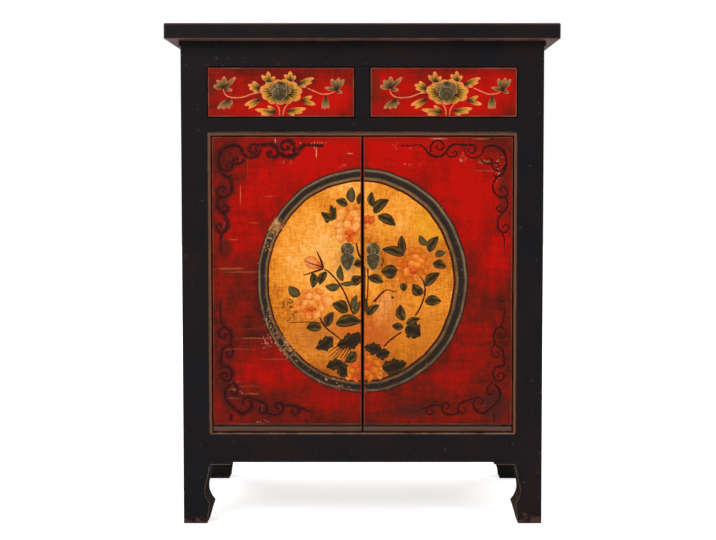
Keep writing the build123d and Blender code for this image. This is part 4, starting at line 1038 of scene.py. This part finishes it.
lower_scroll = (
    (((255, 406), (256, 387), (254, 368.5), (249, 359.5)), (0.4, 1.2, 1.8, 2)),
    (((249, 359.5), (257.5, 352.5), (258.5, 343), (250.5, 338.5), (245.5, 344), (250.5, 347.5)),
      (2.4, 2, 1.8, 1.2)),
    (((249, 359.5), (240, 352.5), (236.5, 340.5), (238.5, 329), (233, 320)), (2, 2.6, 2.4, 1.8)),
    (((238.5, 327), (250.5, 320), (255, 306), (256, 287.5)), (1.8, 2.6, 2.6, 2.4)),
    (((233, 317.5), (236.5, 306), (243.5, 304.5), (245.5, 311.5), (240, 313)), (1.8, 2, 1.8, 1.2)),
    (((256, 287.5), (241, 285), (235.5, 273.5), (241, 262), (251.5, 262), (256, 271), (249, 275.5),
      (243.5, 270), (248, 266.5)), (2.4, 2.6, 2.4, 1.8, 1.2)),
    (((236.5, 259.5), (226, 248), (228.5, 236), (236.5, 238.5), (236.5, 245.5)), (1.8, 2.6, 2, 1.4)),
    (((238.5, 255), (248, 243), (248, 227)), (2.4, 4.2, 2.8)),
    (((248, 227), (234, 213), (220, 202.5), (208.5, 205), (200.5, 216.5), (204, 229.5), (213, 229.5),
      (218, 222.5), (212, 216.5)), (2.8, 3.4, 3.2, 2.6, 2, 1.4)),
    (((201.5, 229.5), (187.5, 224.5), (176, 219), (172.5, 208.5), (180.5, 201.5), (187.5, 208.5),
      (180.5, 213)), (1.8, 2.8, 2.6, 2, 1.2)),
    (((176, 203.5), (162, 199), (148, 202.5), (143.5, 213), (149.5, 221), (157.5, 216.5),
      (155, 210.5), (150.5, 210.5)), (2.4, 2.8, 2.6, 2, 1.2)),
    (((143.5, 215.5), (129.5, 216.5), (118, 213), (115.5, 203.5), (122.5, 199), (128.5, 205),
      (124, 208.5)), (1.8, 2.4, 2, 1.8, 1.2)),
    (((118, 213), (104, 208.5), (88, 201.5)), (1.8, 1.4, 0.4)),
    (((237.5, 201.5), (238.5, 187.5)), (2.4, 1.8)),
)
ink_on_red = painted("ink_on_red", door_cinnabar)
for (side, door), cover in zip(doors, ((0.55, 0.88), (0.62, 0.97))):
    halo = (0.36 - 0.14 * side, 0.68 - 0.16 * side)
    for part, lines in (("upper", upper_scroll), ("lower", lower_scroll)):
        shapes = []
        for points, widths in lines:
            points = np.array(points) * (side, 1)
            widths = np.array(widths) * (1.0 - 0.1 * side)
            shapes.append(stroke(points, widths * 3.8 + 2.0, "561614", halo, 0.08))
            shapes.append(stroke(points, widths * 1.6, "360f0c", cover, 0.14))
        relief(f"{door}_{part}_scroll", shapes, ink_on_red, door)

# ---- flowers of the drawers -------------------------------------------------------------------
# One wide blossom behind the pull with leaves and buds on salmon stems, in gold over green over
# black. Places are measured from the pull.

# Base x, z, tip x, z and width of each leaf and bud, and the strokes of the stems, in mm.
drawer_leaves = (
    (-18.5, 14, -32.5, 27, 8), (-18.5, 14, -21, 34, 8.5), (-18.5, 14, -9, 25, 7.5),
    (19, 16.5, 8, 28.5, 7.5), (19, 16.5, 18.5, 34.5, 8.5), (19, 16.5, 28.5, 26, 7.5),
    (31, 11.5, 61, 22.5, 8), (31, 11.5, 57.5, 14, 7), (31, 11, 47.5, 7, 6.5), (-35.5, 3, -57, 10.5, 8),
    (-35.5, 3, -48.5, 16.5, 7.5), (-35.5, 3, -54.5, 3, 7), (-35.5, 2.5, -46.5, -3, 5.5),
    (-34, -15, -63, -26, 8.5), (-34, -15, -56, -32, 7), (-7.5, -39, -44, -34, 8),
    (-7.5, -39, -34, -42.5, 7.5), (-7.5, -38, -22, -27, 7), (11.5, -36.5, 46.5, -32, 8),
    (11.5, -36.5, 40.5, -39, 7.5), (11.5, -36, 26, -44, 6.5), (38, -18.5, 63.5, -24.5, 8),
    (38, -18.5, 57.5, -10, 7),
)
drawer_buds = (
    (-99.5, 4.5, -79, 23.5, 8), (-99.5, 4.5, -99.5, 25, 9.5), (-99.5, 4.5, -118.5, 8, 9.5),
    (-99.5, 3, -85, 0.5, 6.5), (-99.5, 4.5, -112.5, 19, 8.5), (-91, -15.5, -111.5, -32, 8.5),
    (-91, -15.5, -101.5, -33, 8), (-91, -15.5, -91, -32, 7.5), (-91, -15, -85, -24.5, 6),
    (101, 0.5, 92.5, 21, 9.5), (101, 0.5, 105.5, 22.5, 9.5), (101, 0.5, 115, 20, 8.5),
    (101, 0, 80.5, 5.5, 7), (101, -0.5, 111.5, -4, 6.5), (82.5, -9, 75.5, -32, 6.5),
    (82.5, -9, 80.5, -33, 7), (82.5, -9, 86.5, -32, 6.5),
)
drawer_stems = (
    (((-101.5, 3), (-97, -7.5), (-85, -12.5), (-65.5, -11.5), (-48.5, -5.5), (-36.5, -4)),
      (1.2, 2.2, 2.2, 2.2, 1.6)),
    (((-7.5, -23.5), (-1.5, -32), (-0.5, -44)), (1.6, 2.4, 1.4)),
    (((15, -23.5), (8, -32), (5.5, -44)), (1.6, 2.4, 1.4)),
    (((49, 4.5), (60, -0.5), (74.5, -6), (88.5, -5.5), (98.5, -1.5)), (1.4, 2.2, 2.2, 2, 1.2)),
)
pull_z = 783.0
gold = ("18120e", "5c5020", "da9030", "f4ae48", "f08250")
dull = ("221812", "5a4a28", "94683a", "b07c48", "c47a56")
# Two rings of petals: how many, turn of the first, half sizes, heart, where the foot of a petal lies
# on its ray, how unequal the petals are, width, shades, cover and lift.
petal_rings = (
    (11, 0.1, (38, 22.5), (2, -2.5), 0.36, 0.04, 18.5, gold, 1.0, 0.16),
    (9, 0.4, (21, 15.5), (1, 2), 0.3, 0.0, 13, dull, 0.95, 0.2),
)
gold_on_red = painted("gold_on_red", drawer_cinnabar)


def gold_leaf(base_x, base_z, tip_x, tip_z, width, origin, shades, cover, lift=0.22):
    """A leaf black at its base, green in the middle and gold at its tip, with gold streaks.

    Half widths follow the sine of pi times the share along to the power 1.15, the whole to 0.7.
    """
    t = np.linspace(0, 1, 13)[:, None]
    v = np.linspace(-1, 1, 13)
    base = origin + (base_x, base_z)
    along, side = lie_of(base, origin + (tip_x, tip_z))
    half = 0.5 * width * np.sin(np.pi * (0.02 + 0.95 * t) ** 1.15) ** 0.7 + 0.15
    grid = base + along * t[..., None] + side * (v * half)[..., None]
    black, green, gold, light, rim = (linear(shade) for shade in shades)
    share = t + 0.16 * np.cos(12 * v) + 0.15 * np.abs(v)
    colours = mixed(black, green, (share - 0.1) / 0.35)
    colours = mixed(colours, gold, (share - 0.42) / 0.3)
    colours = mixed(colours, light, (share - 0.8) / 0.25)
    colours = mixed(colours, rim, (np.maximum(np.abs(v), t) - 0.78) / 0.14 * (t > 0.2))
    colours[..., 3] = cover
    return grid, colours, lift


for drawer, pull_x, faded in (("left_drawer", -147.5, 0.86), ("right_drawer", 150.0, 0.9)):
    origin = np.array([pull_x, pull_z])
    petals = []
    for count, turn, reach, heart, foot, unequal, width, shades, cover, lift in petal_rings:
        for k in range(count):
            angle = 2 * np.pi * k / count + turn
            ray = np.array([np.cos(angle), np.sin(angle)]) * reach
            ends = (*(foot * ray + heart), *(ray * (1 + unequal * np.sin(4.0 * k)) + heart))
            petals.append(gold_leaf(*ends, width, origin, shades, cover, lift))
    relief(drawer + "_blossom", petals, gold_on_red, drawer)
    leaves = [gold_leaf(*row, origin, gold, 1.0) for row in drawer_leaves]
    leaves += [gold_leaf(*row, origin, dull, faded if row[0] > 0 else 0.95) for row in drawer_buds]
    relief(drawer + "_leaves", leaves, gold_on_red, drawer)
    stems = [stroke(points + origin, widths, "e07a52", (0.85, 1.0)) for points, widths in drawer_stems]
    relief(drawer + "_stems", stems, gold_on_red, drawer)

# ---- bronze pulls -----------------------------------------------------------------------------
# Domed plates, split staples and cast leaf drops. Each staple holds its plate on the board and is
# clenched behind it, and the drop hangs in its eye.

# Aged bronze: brown and greenish in the hollows, in blotches 5 mm across, rubbed to pale metal on the
# rims. That pale rim is also a painted highlight.
bronze, tree, place = material("aged_bronze")
blotches = add(tree, "TexNoise", {"Vector": place, "Scale": 180.0, "Detail": 4.0})
browns = ((0.35, "4a4228"), (0.55, "665234"), (0.72, "7c6644"))
brown = add(tree, "ValToRGB", (blotches,), stops=browns)
# Pale rims: metal worn bright by hands, and also a painted highlight along the edges.
worn = rubbed(tree, place, 3.0, 0.04, 0.3, 8)
colour = add(tree, "Mix", {0: worn, 6: brown, 7: "dcc79c"}, out=2, data_type="RGBA")
roughness = add(tree, "MapRange", (blotches, 0.3, 0.7, 0.36, 0.58))
sockets = {"Base Color": colour, "Roughness": roughness, "Metallic": 0.85}
surface(tree, sockets, blotches, 0.25, 0.4)
dress(["_pull_plate", "_pull_staple", "_pull_drop"], bronze)
